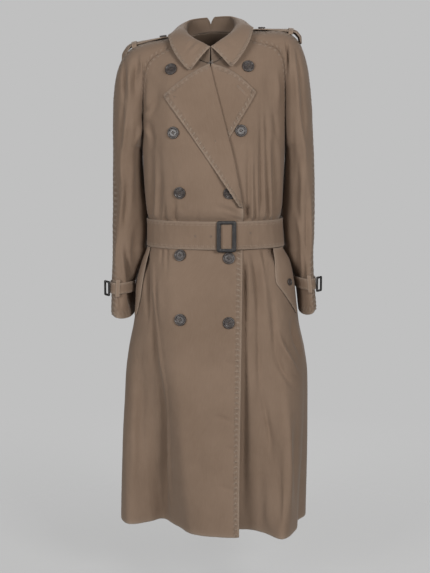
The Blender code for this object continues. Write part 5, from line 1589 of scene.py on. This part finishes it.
def make_lapels():
    """Both lapels, one with its buttonhole and one with two bar tacks."""
    for name, side in (("lapel_right", -1), ("lapel_left", 1)):
        flip = side < 0
        grid = sewn(lean(lapel_grid(side)), flip, LAPEL_SEWING)
        shell(name, grid, WALL, flip=flip, seams=("first_column",), sewing=LAPEL_SEWING)
        face = grid[:, ROLL_STEPS + 1:]
        outward = normals_of(face) * (-1.0 if flip else 1.0)
        if side > 0:
            worked_hole("lapel_buttonhole", *spot_on(face, outward, *BUTTONHOLE), BUTTONHOLE_ALONG,
                        BUTTONHOLE_LENGTH)
            continue
        for number, place in enumerate(TACKS):
            worked_hole(f"lapel_tack_{number + 1}", *spot_on(face, outward, *place), TACK_ALONG,
                        TACK_LENGTH, width=TACK_WIDTH)


# ---- collar ----
HALF_COLLAR = 150         # points along half the collar
COLLAR_ROLL = 0.0032      # radius of the fold at the collar's top
COLLAR_THICK = 0.0020
COLLAR_STITCH = 0.0060
COLLAR_PUCKER = 0.00060
COLLAR_INSIDE = 11        # rows of the leaf that lie inside the coat
LEAF_ROWS = 30
LEAF_CROWDING = 0.9       # below 1 its rows lie closer together near the edge
BULGE_POWER = 0.7         # below 1 its bulge is highest nearer the fold
INSIDE_BAND = 0.012       # how far the leaf runs down inside, behind the neck
STAND_ROWS = 14
ROLL_ROWS = (6, 8)        # rows of the band inside and of the fold over it
COLLAR_BLUNT = (0.075, 0.030)     # its ends are cut back by this share of the leaf, over this share along
BAND_ENDS = (0.02, 0.30)  # the band inside grows over this share of half the collar
BAND_LEAST = (0.003, 0.002)       # from this, and is never less than this below the nick
BAND_TOP = 0.85           # its rows end at this share, just below the fold
COLLAR_SEWING = tuple((edge, COLLAR_STITCH, *span, 0.9, COLLAR_PUCKER, 0.006) for edge, span in (
    ("last_row", (0.02, 0.98)), ("first_column", (0.36, 0.9)), ("last_column", (0.36, 0.9))))
COLLAR_FOLDS = (
    # place along from the wearer's right end, place down the leaf, length along, length down, height
    (0.060, 0.35, 0.018, 0.22, -0.0026),
    (0.088, 0.26, 0.010, 0.16, 0.0020),
    (0.118, 0.40, 0.014, 0.24, -0.0020),
    (0.150, 0.24, 0.010, 0.14, 0.0014),
    (0.330, 0.50, 0.050, 0.40, -0.0014),
    (0.640, 0.55, 0.045, 0.40, 0.0012),
    (0.885, 0.40, 0.018, 0.24, -0.0018),
    (0.930, 0.30, 0.012, 0.18, 0.0015),
)


def mirrored(points):
    """A row of points from the wearer's right end to the left one, through the back."""
    middle = np.array((NECK_X, 0.0, 0.0))
    return np.concatenate((points * np.array((-1.0, 1.0, 1.0)) + middle, (points + middle)[-2::-1]))


def collar_row(table):
    """Points along half the collar."""
    shares = np.linspace(0.0, 1.0, HALF_COLLAR)
    return joined(*(column(table, axis, shares) for axis in (1, 2, 3)))


def nick(points):
    """Lower the collar's top by the nick at the middle of the back."""
    behind = points[..., 1] > 0.0
    away = np.abs(points[..., 0] - NECK_X) / COLLAR_NOTCH_WIDTH
    return COLLAR_NOTCH_DEPTH * np.clip(1.0 - away, 0.0, 1.0) * behind


def neck_seam():
    """The neck seam all the way round, a little up inside the collar."""
    shares = np.linspace(0.0, 1.0, HALF_COLLAR)
    seam = np.concatenate((neck_point(shares, -1), neck_point(shares, 1)[-2::-1]))
    seam[:, 2] += STAND_BASE_UP
    return seam


def collar_leaf_grid():
    """The leaf: rows run from the band inside the neck, over the fold and down to its edge."""
    fold = mirrored(collar_row(FOLD_LINE))
    edge = mirrored(collar_row(LEAF_EDGE))
    drop = unit(neck_seam() - fold)
    lowered = nick(fold)
    fold[:, 2] -= lowered
    along = unit(np.gradient(fold, axis=0))
    out = unit(np.cross(along, edge - fold))
    shares = np.linspace(0.0, 1.0, HALF_COLLAR)
    bulge = column(FOLD_LINE, 4, shares)
    bulge = np.concatenate((bulge, bulge[-2::-1]))[:, None]
    place = np.concatenate((shares / 2.0, 1.0 - shares[-2::-1] / 2.0))
    from_end = np.minimum(place, 1.0 - place)
    blunt = 1.0 - COLLAR_BLUNT[0] * np.clip(1.0 - from_end / COLLAR_BLUNT[1], 0.0, 1.0) ** 2
    leaf = []
    for t in np.linspace(0.0, 1.0, LEAF_ROWS) ** LEAF_CROWDING:
        reach = (t * blunt)[:, None]
        dents = sum(high * np.exp(-((place - a) / la) ** 2 - ((t - b) / lb) ** 2)
                    for a, b, la, lb, high in COLLAR_FOLDS)
        lift = bulge * np.sin(math.pi * reach ** BULGE_POWER) + dents[:, None]
        leaf.append(fold + (edge - fold) * reach + out * lift)
    leaf = np.array(leaf)
    ahead = unit(leaf[1] - leaf[0])
    face = unit(np.cross(along, ahead))
    centre = fold - face * COLLAR_ROLL
    band = np.maximum(INSIDE_BAND * ramp(*BAND_ENDS, from_end) + BAND_LEAST[0] - lowered, BAND_LEAST[1])
    inner = centre - face * COLLAR_ROLL
    rows = [inner + drop * (band * (1.0 - t))[:, None] for t in np.linspace(0.0, BAND_TOP, ROLL_ROWS[0])]
    for angle in np.linspace(math.pi, 0.0, ROLL_ROWS[1] + 1)[:-1]:
        rows.append(centre + COLLAR_ROLL * (math.cos(angle) * face - math.sin(angle) * ahead))
    return np.concatenate((np.array(rows), leaf))


def collar_stand_grid():
    """The stand, from under the fold down to the neck seam."""
    fold = mirrored(collar_row(FOLD_LINE))
    fold[:, 2] -= nick(fold) + DOUBLE + SEAM
    inward = unit((np.array((NECK_X, 0.0, 0.0)) - fold) * np.array((1.0, 1.0, 0.0)))
    top = fold + inward * STAND_IN
    base = neck_seam() + inward * STAND_BASE_IN
    return np.array([top + (base - top) * t for t in np.linspace(0.0, 1.0, STAND_ROWS)])


def make_collar():
    """The collar's leaf and its stand."""
    leaf = sewn(lean(collar_leaf_grid()), True, COLLAR_SEWING)
    # the leaf's rows inside the coat, and the whole stand, get painted shade
    shell("collar_leaf", leaf, COLLAR_THICK, flip=True, sewing=COLLAR_SEWING, turned_in=COLLAR_INSIDE)
    shell("collar_stand", lean(collar_stand_grid()), DOUBLE, flip=True, turned_in=STAND_ROWS)


# ---- shoulder straps ----
STRAP_COLUMNS = 84
STRAP_ROWS = 24
LOOP_COLUMNS = 8
LOOP_ROWS = 44
STRAP_STITCH = 0.0048
STRAP_PUCKER = 0.00045
STRAP_TILT = 0.007        # the right strap's front edge hangs this much lower still
TILT_SHARES = (0.45, 0.9)
STRAP_END_DROP = 0.0065   # and its end lies this much closer to the sleeve
DROP_SHARES = (0.55, 0.92)
STRAP_SEWING = tuple((edge, STRAP_STITCH, 0.0, 1.0, 0.6, STRAP_PUCKER, STRAP_STITCH) for edge in LONG_EDGES)
STRAP_SEWING += plain_rows(("first_column",), STRAP_STITCH, 0.2, 0.8)
LOOP_SEWING = plain_rows(SIDES, 0.0022)


def strap_grid(side, first, last, columns, path):
    """Points across and along a shoulder strap; the path gives (share of width, lift)."""
    share = np.linspace(first, last, columns)
    arc = np.linspace(0.0, 1.0, len(EPAULETTE))
    middle_x, middle_z, half, hang = (through(arc, values, share) for values in zip(*EPAULETTE))
    if side > 0:
        middle_x = middle_x - EPAULETTE_SHORT * ramp(*EPAULETTE_SHORTENS, share)
        middle_z = middle_z - EPAULETTE_DROP
    else:
        middle_z = middle_z - STRAP_END_DROP * ramp(*DROP_SHARES, share)
    slope = unit(joined(np.gradient(middle_x), np.gradient(middle_z)))
    grid = []
    for across, lift in path:
        sag = hang * across ** 2
        if side < 0:
            sag = sag + STRAP_TILT * ramp(*TILT_SHARES, share) * np.clip(-across, 0.0, 1.0)
        x_out = middle_x - slope[:, 1] * (lift - sag)
        z_out = middle_z + slope[:, 0] * (lift - sag)
        grid.append(joined(side * x_out, half * across, z_out))
    return np.array(grid)


def loop_path():
    """The loop's path round the strap, as a smooth run through its few points."""
    places = np.linspace(0.0, len(LOOP_PATH) - 1.0, LOOP_ROWS)
    return joined(*(through(range(len(LOOP_PATH)), values, places) for values in zip(*LOOP_PATH)))


def make_epaulettes():
    """Both shoulder straps, each with its loop and button."""
    flat = [(across, 0.0) for across in np.linspace(-1.0, 1.0, STRAP_ROWS)]
    for side_name, side in (("right", -1), ("left", 1)):
        flip = side > 0
        grid = sewn(lean(strap_grid(side, 0.0, 1.0, STRAP_COLUMNS, flat)), flip, STRAP_SEWING)
        shell(f"epaulette_{side_name}", grid, DOUBLE, flip=flip, sewing=STRAP_SEWING)
        loop = lean(strap_grid(side, *LOOP_SHARE, LOOP_COLUMNS, loop_path()))
        shell(f"epaulette_loop_{side_name}", loop, WALL, flip=flip, sewing=LOOP_SEWING)
        middle = lean(strap_grid(side, *STRAP_BUTTON_SHARE, 3, ((0.0, 0.0),))[0])
        along = unit(middle[2] - middle[0]) * side
        normal = np.array((-along[2], 0.0, along[0]))
        make_button(f"epaulette_button_{side_name}", middle[1], normal, SMALL_RADIUS, SMALL_THICK)


# ---- buttons, eyelets and worked holes ----
BUTTON_TURNS = 48
BUTTON_RINGS = 30         # over the outer half of its face
MIDDLE_RINGS = 21         # and over the inner half, with the holes
BUTTON_MIDDLE = 0.02      # radius of the innermost one
BUTTON_SPIN = 0.3         # how far a button is turned, in radians
BUTTON_SPINS = (0.2, 0.9, 2.4)    # the large ones: middle, swing and rate from one to the next
SURFACE_STEP = 0.004      # over which the fronts' direction is measured
HOLE_FROM_MIDDLE = 0.19   # of the button's four holes, as a share of its radius
HOLE_RADIUS = 0.085
HOLE_DEPTH = 0.45         # as a share of the thickness
BUTTON_FACE = (
    # share of the radius, share of the thickness
    (0.00, 0.62),
    (0.30, 0.60),
    (0.52, 0.60),
    (0.60, 0.66),
    (0.66, 0.62),
    (0.74, 0.84),
    (0.84, 1.00),
    (0.93, 0.95),
    (0.985, 0.72),
    (1.00, 0.45),
)
BUTTON_BACK = ((0.985, 0.28), (0.90, 0.08), (0.70, 0.0), (0.0, 0.0))
HOLE_SLOPE = (0.75, 1.15) # a hole's wall, as shares of its radius
SEWING_HIGH = 0.66        # the thread lies over the button at this share of its thickness
SEWING_RADIUS = 0.00035
SEWING_SINK = 0.0012
SEWING_APART = (0.0004, 0.0003)   # the two threads of each bar lie this far to both sides and up


def axes_for(normal):
    """Two directions across a normal; the second one points up."""
    normal = unit(np.asarray(normal, float))
    helper = np.array((0.0, 0.0, 1.0)) if abs(normal[2]) < 0.9 else np.array((0.0, 1.0, 0.0))
    across = unit(np.cross(helper, normal))
    return across, np.cross(normal, across), normal


def turned_piece(name, seat, normal, rings, heights, radius, material):
    """A lathe piece: heights is rings x turns, and the first ring closes to a point."""
    across, up, normal = axes_for(normal)
    count = heights.shape[1]
    turns = 2.0 * math.pi * np.arange(count) / count
    spokes = across * np.cos(turns)[:, None] + up * np.sin(turns)[:, None]
    points = seat + spokes[None] * (rings * radius)[:, None, None] + normal * heights[..., None]
    faces = []
    for ring in range(len(rings) - 1):
        for step in range(count):
            a, b = ring * count + step, ring * count + (step + 1) % count
            faces.append((a, a + count, b + count, b))
    faces += [tuple(range(count)), tuple(range((len(rings) - 1) * count, len(rings) * count))[::-1]]
    return mesh_object(name, points.reshape(-1, 3), faces, material)


def make_button(name, seat, normal, radius, thick, spin=BUTTON_SPIN):
    """Four-hole button with a dished middle and a raised rim, sewn on with two bars of thread."""
    rings = np.concatenate((np.linspace(BUTTON_MIDDLE, 0.5, MIDDLE_RINGS),
                            np.linspace(0.5, 1.0, BUTTON_RINGS)[1:]))
    turns = 2.0 * math.pi * np.arange(BUTTON_TURNS) / BUTTON_TURNS
    heights = (through(*zip(*BUTTON_FACE), rings) * thick)[:, None] + np.zeros(BUTTON_TURNS)
    x, y = rings[:, None] * np.cos(turns), rings[:, None] * np.sin(turns)
    angles = [spin + math.pi * (k + 0.5) / 2 for k in range(4)]
    holes = [(HOLE_FROM_MIDDLE * math.cos(angle), HOLE_FROM_MIDDLE * math.sin(angle)) for angle in angles]
    for hx, hy in holes:
        heights -= HOLE_DEPTH * thick * (1.0 - ramp(*HOLE_SLOPE, np.hypot(x - hx, y - hy) / HOLE_RADIUS))
    back = np.array(BUTTON_BACK[:-1])
    heights = np.concatenate((heights, back[:, 1:] * thick + np.zeros(BUTTON_TURNS)))
    rings = np.concatenate((rings, back[:, 0]))
    across, up, normal = axes_for(normal)
    button = turned_piece(f"{name}_turned", seat + normal * BUTTON_GAP, normal, rings, heights, radius,
                          "horn")
    middle = seat + normal * (BUTTON_GAP + SEWING_HIGH * thick)
    spots = [middle + radius * (across * hx + up * hy) for hx, hy in holes]
    shifts = [across * SEWING_APART[0] * k + up * SEWING_APART[1] * k for k in (-1, 1)]
    starts, ends = (np.array([spots[hole] + shift for shift in shifts for hole in pair])
                    for pair in ((0, 1), (3, 2)))
    points, faces = rods(starts, ends, np.repeat(normal[None], 4, axis=0), SEWING_RADIUS, SEWING_SINK)
    mesh_object(f"{name}_sewing", points, faces, "dark_thread")
    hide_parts(name)


def front_surface(x, z, extra=0.0):
    """Point and outward normal on the fronts at x and z, above every layer there."""
    def at(px, pz):
        px, pz = np.array([[px]], float), np.array([pz], float)
        side = -1 if px[0, 0] <= float(front_edge(pz, -1)[0]) else 1
        out = over_lap(px, pz[:, None], side) + extra + front_height(px, pz[:, None])
        if pz[0] >= UNDERARM:
            return lean(chest_point(px, pz[:, None], out, -1))[0, 0]
        return lean(body_point(turn_of(px, pz[:, None]), pz, out, side))[0, 0]
    step = SURFACE_STEP
    normal = np.cross(at(x + step, z) - at(x - step, z), at(x, z + step) - at(x, z - step))
    return at(x, z), unit(normal)


def make_buttons():
    """The ten large buttons, each turned a little differently."""
    middle, swing, rate = BUTTON_SPINS
    for number, (name, x, z, lift) in enumerate(BUTTONS):
        seat, normal = front_surface(x, z, lift)
        spin = middle + swing * math.sin(rate * number)
        make_button(name, seat, normal, BUTTON_RADIUS, BUTTON_THICK, spin)


HOLE_STITCHES = (0.0003, 0.0026, 0.0009)  # of a buttonhole: from its slit, to there, one apart
HOLE_END_STITCHES = 7
HOLE_THREAD = (0.0005, 0.0002)    # radius and sink


def worked_hole(name, seat, normal, along, length, width=HOLE_STITCHES[1]):
    """Buttonhole: close stitches round a slit."""
    along = unit(np.asarray(along, float))
    across = np.cross(normal, along)
    slit, _, pitch = HOLE_STITCHES
    starts, ends = [], []
    for place in np.arange(-length / 2, length / 2, pitch):
        for side in (-1.0, 1.0):
            starts.append(seat + along * place + across * side * slit)
            ends.append(seat + along * place + across * side * width)
    for turn in np.linspace(-math.pi / 2, math.pi / 2, HOLE_END_STITCHES):
        spoke = along * math.cos(turn) + across * math.sin(turn)
        for end in (-1.0, 1.0):
            spot = seat + along * end * length / 2
            starts.append(spot + end * spoke * slit)
            ends.append(spot + end * spoke * width)
    normals = np.repeat(np.asarray(normal, float)[None], len(starts), axis=0)
    mesh_object(name, *rods(np.array(starts), np.array(ends), normals, *HOLE_THREAD), "thread")


EYELET_RADIUS = 0.0026
EYELET_FACE = (
    # share of the radius, height
    (0.02, -0.0006),
    (0.34, -0.0006),
    (0.42, -0.0001),
    (0.55, 0.0005),
    (0.75, 0.0006),
    (0.92, 0.0003),
    (1.0, -0.0002),
)
EYELET_RIBS = 0.00012
EYELET_TURNS = 64


def make_eyelet(name, seat, normal):
    """Sewn eyelet in the belt: a ring of thread round a small hole."""
    rings, face = np.array(EYELET_FACE).T
    ribs = EYELET_RIBS * np.sin(np.arange(EYELET_TURNS) * math.pi / 2.0)
    heights = face[:, None] + ribs * (face > 0.0)[:, None]
    turned_piece(name, seat, normal, rings, heights, EYELET_RADIUS, "dark_thread")


# ---- belt and buckle ----
BELT_ROWS = 20
BELT_STEPS = 470
BELT_STITCHES = (0.0035, 0.0075)
BELT_PUCKER = 0.00016
BELT_SEWING = tuple(row for edge in LONG_EDGES for row in (
    (edge, BELT_STITCHES[0], 0.0, 1.0, 0.0, BELT_PUCKER, BELT_STITCHES[0]),
    (edge, BELT_STITCHES[1], 0.0, 1.0, 0.35, 0.0, 0.0)))
BELT_SEWING += plain_rows(("last_column",), BELT_STITCHES[0], 0.1, 0.9)
BELT_WAVES = ((0.0005, 11.0, 1.5, 0.0), (0.0004, 23.0, -2.0, 1.0))   # height, rate along, slant, phase
BELT_CURL = 0.0010        # both edges curl outwards by up to this
BELT_CURL_POWER = 4       # most of it close to the edge
BELT_CURL_WAVE = (5.0, 2.0)   # rate of its waves along, and their phase at the two edges
BELT_START_Z = -0.45      # the belt starts at the buckle's middle, at this height
LAP_EASE = 0.03
EYELETS = (
    # x, z
    (-0.0515, -0.4510),
    (-0.0020, -0.4520),
    (0.0880, -0.4450),
)


def belt_grid(turns, heights, lift):
    """Strip round the waist; lift is how far each turn stands off the body."""
    wrapped = (turns + math.pi) % (2 * math.pi) - math.pi
    wrapped = np.repeat(wrapped[None], len(heights), axis=0)
    flat = body_point(wrapped, heights, 0.0, 0)
    layers = over_lap(flat[..., 0], heights[:, None], -1) * (np.abs(wrapped) < math.pi / 2)
    eased = PITCH * (1.0 - ramp(OVERLAP, OVERLAP + LAP_EASE, flat[..., 0]))
    layers = np.where(flat[..., 0] > OVERLAP, eased, layers)
    return body_point(wrapped, heights, layers + lift, 0)


def make_belt():
    """The belt, from under the buckle round the waist and over its own first turn, with its eyelets."""
    middle = (BUCKLE_X[0] + BUCKLE_X[1]) / 2
    start = float(turn_of(np.array(middle), np.array(BELT_START_Z)))
    over = start + 2 * math.pi
    turns = np.linspace(start + BELT_FREE, 2 * math.pi + math.radians(BELT_TAIL_TURN), BELT_STEPS)
    layer = DOUBLE + BELT_GAP
    lift = layer + layer * ramp(over - BELT_CLIMB[0], over - BELT_CLIMB[1], turns)
    share = np.linspace(-1.0, 1.0, BELT_ROWS)[:, None]
    wave = sum(high * np.sin(turns * rate + slant * share + phase) for high, rate, slant, phase in BELT_WAVES)
    rate, phase = BELT_CURL_WAVE
    curl = 0.5 + 0.5 * np.sin(turns * rate + phase * np.sign(share))
    curl = BELT_CURL * np.abs(share) ** BELT_CURL_POWER * curl
    grid = belt_grid(turns, np.linspace(BELT_TOP, BELT_BOTTOM, BELT_ROWS), lift + np.abs(wave) + curl)
    grid = sewn(grid, False, BELT_SEWING)
    shell("belt", grid, DOUBLE, sewing=BELT_SEWING, edge_wear_and_highlight=NARROW_WEAR_AND_HIGHLIGHT)
    on_top = turns > over - BELT_CLIMB[0]
    last, faces = grid[:, on_top], normals_of(grid)[:, on_top]
    for number, (x, z) in enumerate(EYELETS):
        away = np.hypot(last[..., 0] - x, last[..., 2] - z) + 10.0 * (last[..., 1] > 0.0)
        spot = np.unravel_index(np.argmin(away), away.shape)
        make_eyelet(f"eyelet_{number + 1}", last[spot], faces[spot])


UP = np.array((0.0, 0.0, 1.0))
CORNER_STEPS = 8
FRAME_SECTION = 16        # points round the frame's section
FRAME_SQUARE = 0.7        # below 1 its section is squarer than an ellipse
FRAME_INNER_ROUND = 0.45  # of the hole's corners, as a share of the outer ones


def frame_outline(width, height, radius):
    """Points round a rectangle with rounded corners."""
    points = []
    for sx, sy, start in ((1, 1, 0.0), (-1, 1, 0.5), (-1, -1, 1.0), (1, -1, 1.5)):
        for step in range(CORNER_STEPS + 1):
            angle = math.pi * (start + 0.5 * step / CORNER_STEPS)
            points.append((sx * (width / 2 - radius) + radius * math.cos(angle),
                           sy * (height / 2 - radius) + radius * math.sin(angle)))
        x, y = points[-1]
        points += [(x * across, y) if sx * sy > 0 else (x, y * across) for across in (0.5, 0.0, -0.5)]
    return np.array(points)


def frame_ring(name, seat, across, up, normal, size, hole, thick, rounding):
    """Rectangular frame with rounded corners and a rounded section: size and hole are (width, height)."""
    outer = frame_outline(*size, rounding)
    inner = frame_outline(*hole, rounding * FRAME_INNER_ROUND)
    rows = []
    for angle in 2 * math.pi * np.arange(FRAME_SECTION) / FRAME_SECTION:
        wide, tall = (math.copysign(abs(value) ** FRAME_SQUARE, value)
                      for value in (math.cos(angle), math.sin(angle)))
        flat = (outer + inner) / 2 + (outer - inner) / 2 * wide
        rows.append(seat + across * flat[:, :1] + up * flat[:, 1:] + normal * (thick / 2) * (1.0 + tall))
    count = len(outer)
    faces = []
    for ring in range(FRAME_SECTION):
        for step in range(count):
            here, after = ring * count, (ring + 1) % FRAME_SECTION * count
            following = (step + 1) % count
            faces.append((here + step, here + following, after + following, after + step))
    piece = mesh_object(f"{name}_frame", np.concatenate(rows), faces, "leather")
    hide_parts(name)


def make_buckle():
    """The belt's buckle, on the last layer of the belt."""
    x, z = sum(BUCKLE_X) / 2, sum(BUCKLE_Z) / 2
    seat = body_point(turn_of(np.array([[x]]), np.array([[z]])), np.array([z]), 0.0, 0)[0, 0]
    normal = unit(np.array((BUCKLE_TURN, -1.0, 0.0)))
    across = np.array((-normal[1], normal[0], 0.0))
    width, height = BUCKLE_X[1] - BUCKLE_X[0], BUCKLE_Z[0] - BUCKLE_Z[1]
    seat = seat + normal * (PITCH + 2 * (DOUBLE + BELT_GAP) + BUCKLE_LIFT)
    frame_ring("belt_buckle", seat, across, UP, normal, (width, height),
               (width - 2 * BUCKLE_BAR, height - 2 * BUCKLE_RAIL), BUCKLE_THICK, BUCKLE_ROUND)


# ---- cuffs ----
NEARBY = 0.02             # turn, in radians, over which a direction is measured
CUFF_STEPS = 180
CUFF_ROWS = 10
CUFF_LOOP_GRID = (24, 9)  # its rows and columns
CUFF_WAVE = 0.0004
CUFF_LOOP_TUCK = 0.0022   # its ends dip this much towards the sleeve
CUFF_SEWING = plain_rows(LONG_EDGES, 0.0035)
CUFF_LOOP_SEWING = plain_rows(SIDES, 0.0020)


def cuff_ring(side, height, lift, turns):
    """Points round a sleeve at a height, moved out; turn 0 is the outer seam."""
    share = float(column(SLEEVE_ARM, 0, height, 5))
    outer, inner, _, middle, reach, back = arm(side, share)
    room = float(front_room(share, -1))

    def at(turn):
        t = np.abs(turn) / math.pi
        inwards = t ** 2 * (3.0 - 2.0 * t)
        x = outer + (inner - outer) * inwards + room * 3.0 * t ** 2 * (1.0 - t) * (turn > 0.0)
        return joined(x, middle - np.sign(turn) * 3.0 * reach * t * (1.0 - t) + back * inwards)

    ahead, behind = ((turns + step + math.pi) % (2.0 * math.pi) - math.pi for step in (NEARBY, -NEARBY))
    along = unit(at(ahead) - at(behind))
    ring = at(turns) + joined(-along[:, 1], along[:, 0]) * np.asarray(lift)[..., None]
    return joined(side * ring[:, 0], ring[:, 1], np.full_like(turns, height))


def make_cuffs():
    """The straps round the wrists, each with its loop and buckle."""
    for side_name, side, middle in (("right", -1, CUFF_STRAP_RIGHT), ("left", 1, CUFF_STRAP_LEFT)):
        turns = np.linspace(-math.pi, math.pi, CUFF_STEPS + 1)[:-1]
        half = CUFF_STRAP_WIDTH / 2
        lift = STRAP_OUT + CUFF_WAVE * np.abs(np.sin(3.0 * turns + side))
        rows = [cuff_ring(side, middle + up, lift, turns) for up in np.linspace(half, -half, CUFF_ROWS)]
        shell(f"cuff_strap_{side_name}", np.array(rows), DOUBLE, around=True, flip=side > 0,
              sewing=CUFF_SEWING, edge_wear_and_highlight=NARROW_WEAR_AND_HIGHLIGHT)
        count, columns = CUFF_LOOP_GRID
        turns = np.linspace(*CUFF_LOOP_TURNS, columns)
        rows = [cuff_ring(side, middle - CUFF_LOOP_HALF * t,
                          np.full(columns, CUFF_LOOP_OUT - CUFF_LOOP_TUCK * abs(t) ** 10), turns)
                for t in np.linspace(-1.0, 1.0, count)]
        shell(f"cuff_loop_{side_name}", np.array(rows), WALL, flip=side > 0,
              sewing=CUFF_LOOP_SEWING, edge_wear_and_highlight=NARROW_WEAR_AND_HIGHLIGHT)
        seat = cuff_ring(side, middle - CUFF_BUCKLE_DROP, STRAP_OUT + CUFF_BUCKLE_OFF,
                         np.array((CUFF_BUCKLE_AT,)))[0]
        cos, sin = math.cos(CUFF_BUCKLE_SWING), math.sin(CUFF_BUCKLE_SWING)
        normal = np.array((side * cos, -sin, 0.0))
        across = np.array((sin, side * cos, 0.0))
        seat = seat + side * across * CUFF_BUCKLE_SIZE[0] / 2
        frame_ring(f"cuff_buckle_{side_name}", seat, across, UP, normal,
                   CUFF_BUCKLE_SIZE, CUFF_BUCKLE_HOLE, CUFF_BUCKLE_THICK, CUFF_BUCKLE_ROUND)


# ---- pockets ----
FLAP_ROWS = 66
FLAP_COLUMNS = 30
FLAP_OUT = 0.0030         # outer face of a flap, off the skirt
FLAP_BULGE = 0.0042       # how far its middle stands out
FLAP_BULGE_ENDS = 0.6     # share of that at its top and bottom
FLAP_STITCH = 0.0055
FLAP_PUCKER = 0.00035
FLAP_BUTTONS = (0.75, 0.5)    # where their buttons lie, across the right flap and the left one
FLAP_SEWING = tuple((edge, FLAP_STITCH, 0.02, 0.93, 0.0, FLAP_PUCKER, 0.005) for edge in SIDES)


def make_pockets():
    """Both pocket flaps, each with its button."""
    for name, side, table, across in (("right", -1, FLAP_RIGHT, FLAP_BUTTONS[0]),
                                      ("left", 1, FLAP_LEFT, FLAP_BUTTONS[1])):
        heights = np.linspace(table[0][0], table[-1][0], FLAP_ROWS)
        share = crowded(FLAP_COLUMNS)
        first = turn_of(side * column(table, 1, heights), heights)[:, None]
        last = side * np.radians(column(table, 2, heights))[:, None]
        down = np.linspace(0.0, 1.0, FLAP_ROWS)[:, None]
        bulge = FLAP_BULGE_ENDS + (1.0 - FLAP_BULGE_ENDS) * np.sin(math.pi * down)
        lift = FLAP_OUT + FLAP_BULGE * np.sin(math.pi * share) * bulge
        flip = side < 0
        grid = sewn(body_point(first + (last - first) * share, heights, lift, 0), flip, FLAP_SEWING)
        shell(f"pocket_flap_{name}", grid, WALL, flip=flip, sewing=FLAP_SEWING)
        centre = (FLAP_ROWS // 2, int(np.argmin(np.abs(share - across))))
        normal = side * normals_of(grid)[centre]
        make_button(f"pocket_button_{name}", grid[centre], normal, SMALL_RADIUS, SMALL_THICK)


def finish_hook_and_eye():
    """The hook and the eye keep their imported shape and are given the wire."""
    for name in ("hook", "eye"):
        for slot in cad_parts[name].material_slots:
            slot.material = MATERIALS["wire"]


# ---- floor, light and camera ----
FLOOR = -1.35
FLOOR_RADIUS = 4.0
FLOOR_TURNS = 96          # points round its edge
FLOOR_CLEAR = 0.6         # the floor is whole up to this radius, then fades into the backdrop
FLOOR_GONE = 1.9
FLOOR_SEEN = 0.45         # how much of the floor shows where it is whole
FLOOR_COLOUR = (0.68, 0.68, 0.68, 1.0)
BACKDROP = 0.527          # brightness of the plain backdrop
AMBIENT = 0.178           # and of the light that it sends onto the coat
CAMERA = (0.006, -3.0, -0.1625)
CAMERA_TILT = math.radians(8.0)
FOCAL_PIXELS = 1255.0     # focal length, in pixels of the photograph's frame
FRAME_HEIGHT = 573.0
SENSOR = 36.0
LOOK_AT = (0.0, 0.0, -0.5)
LIGHTS = (
    # name, place, size, watts, colour
    ("key", (1.55, -2.8, 0.50), 1.0, 55.0, (1.0, 0.99, 0.98)),
    ("fill", (-1.85, -2.75, 0.1), 1.0, 46.0, (1.0, 1.0, 1.0)),
    ("top", (0.3, 0.2, 2.6), 2.0, 9.0, (1.0, 1.0, 1.0)),
    ("behind", (0.2, 3.0, 0.8), 2.4, 60.0, (1.0, 1.0, 1.0)),
)


def make_floor():
    """A pale floor that fades out round the coat."""
    mesh = bpy.data.meshes.new("floor")
    turns = [2 * math.pi * k / FLOOR_TURNS for k in range(FLOOR_TURNS)]
    points = [(FLOOR_RADIUS * math.cos(t), FLOOR_RADIUS * math.sin(t), FLOOR) for t in turns]
    mesh.from_pydata(points, [], [tuple(range(FLOOR_TURNS))])
    add_object("floor", mesh)
    material, tree, shader = new_material("floor", 0.9)
    flat = {0: object_place(tree), 1: (1.0, 1.0, 0.0)}
    level = node(tree, "ShaderNodeVectorMath", flat, operation="MULTIPLY").outputs[0]
    away = node(tree, "ShaderNodeVectorMath", {0: level}, operation="LENGTH").outputs["Value"]
    plug(tree, shader, Alpha=spread(tree, away, FLOOR_CLEAR, FLOOR_GONE, FLOOR_SEEN, 0.0))
    shader.inputs["Base Color"].default_value = FLOOR_COLOUR
    mesh.materials.append(material)


def make_stage():
    """Backdrop, floor, lamps and camera."""
    scene = bpy.context.scene
    scene.view_settings.view_transform = "Standard"
    world = bpy.data.worlds.new("studio")
    scene.world = world
    world.use_nodes = True
    tree = world.node_tree
    seen = node(tree, "ShaderNodeLightPath").outputs["Is Camera Ray"]
    tree.links.new(mixed(tree, seen, (AMBIENT,) * 3, (BACKDROP,) * 3), tree.nodes["Background"].inputs[0])
    make_floor()
    for name, place, size, watts, colour in LIGHTS:
        light = bpy.data.lights.new(name, "AREA")
        light.size = size
        light.energy = watts
        light.color = colour
        lamp = add_object(name, light)
        lamp.location = place
        lamp.rotation_euler = (Vector(LOOK_AT) - lamp.location).to_track_quat("-Z", "Y").to_euler()
    lens = bpy.data.cameras.new("camera")
    lens.sensor_fit = "VERTICAL"
    lens.sensor_width = lens.sensor_height = SENSOR
    lens.lens = FOCAL_PIXELS * SENSOR / FRAME_HEIGHT
    camera = add_object("camera", lens)
    camera.location = CAMERA
    camera.rotation_euler = (math.pi / 2 - CAMERA_TILT, 0.0, 0.0)
    scene.camera = camera


def declare_sheets():
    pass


def main():
    for step in (make_stage, make_materials, make_fronts, make_back, make_sleeves, make_lapels, make_collar,
                 make_epaulettes, make_buttons, make_belt, make_buckle, make_cuffs, make_pockets,
                 finish_hook_and_eye, declare_sheets):
        step()


main()
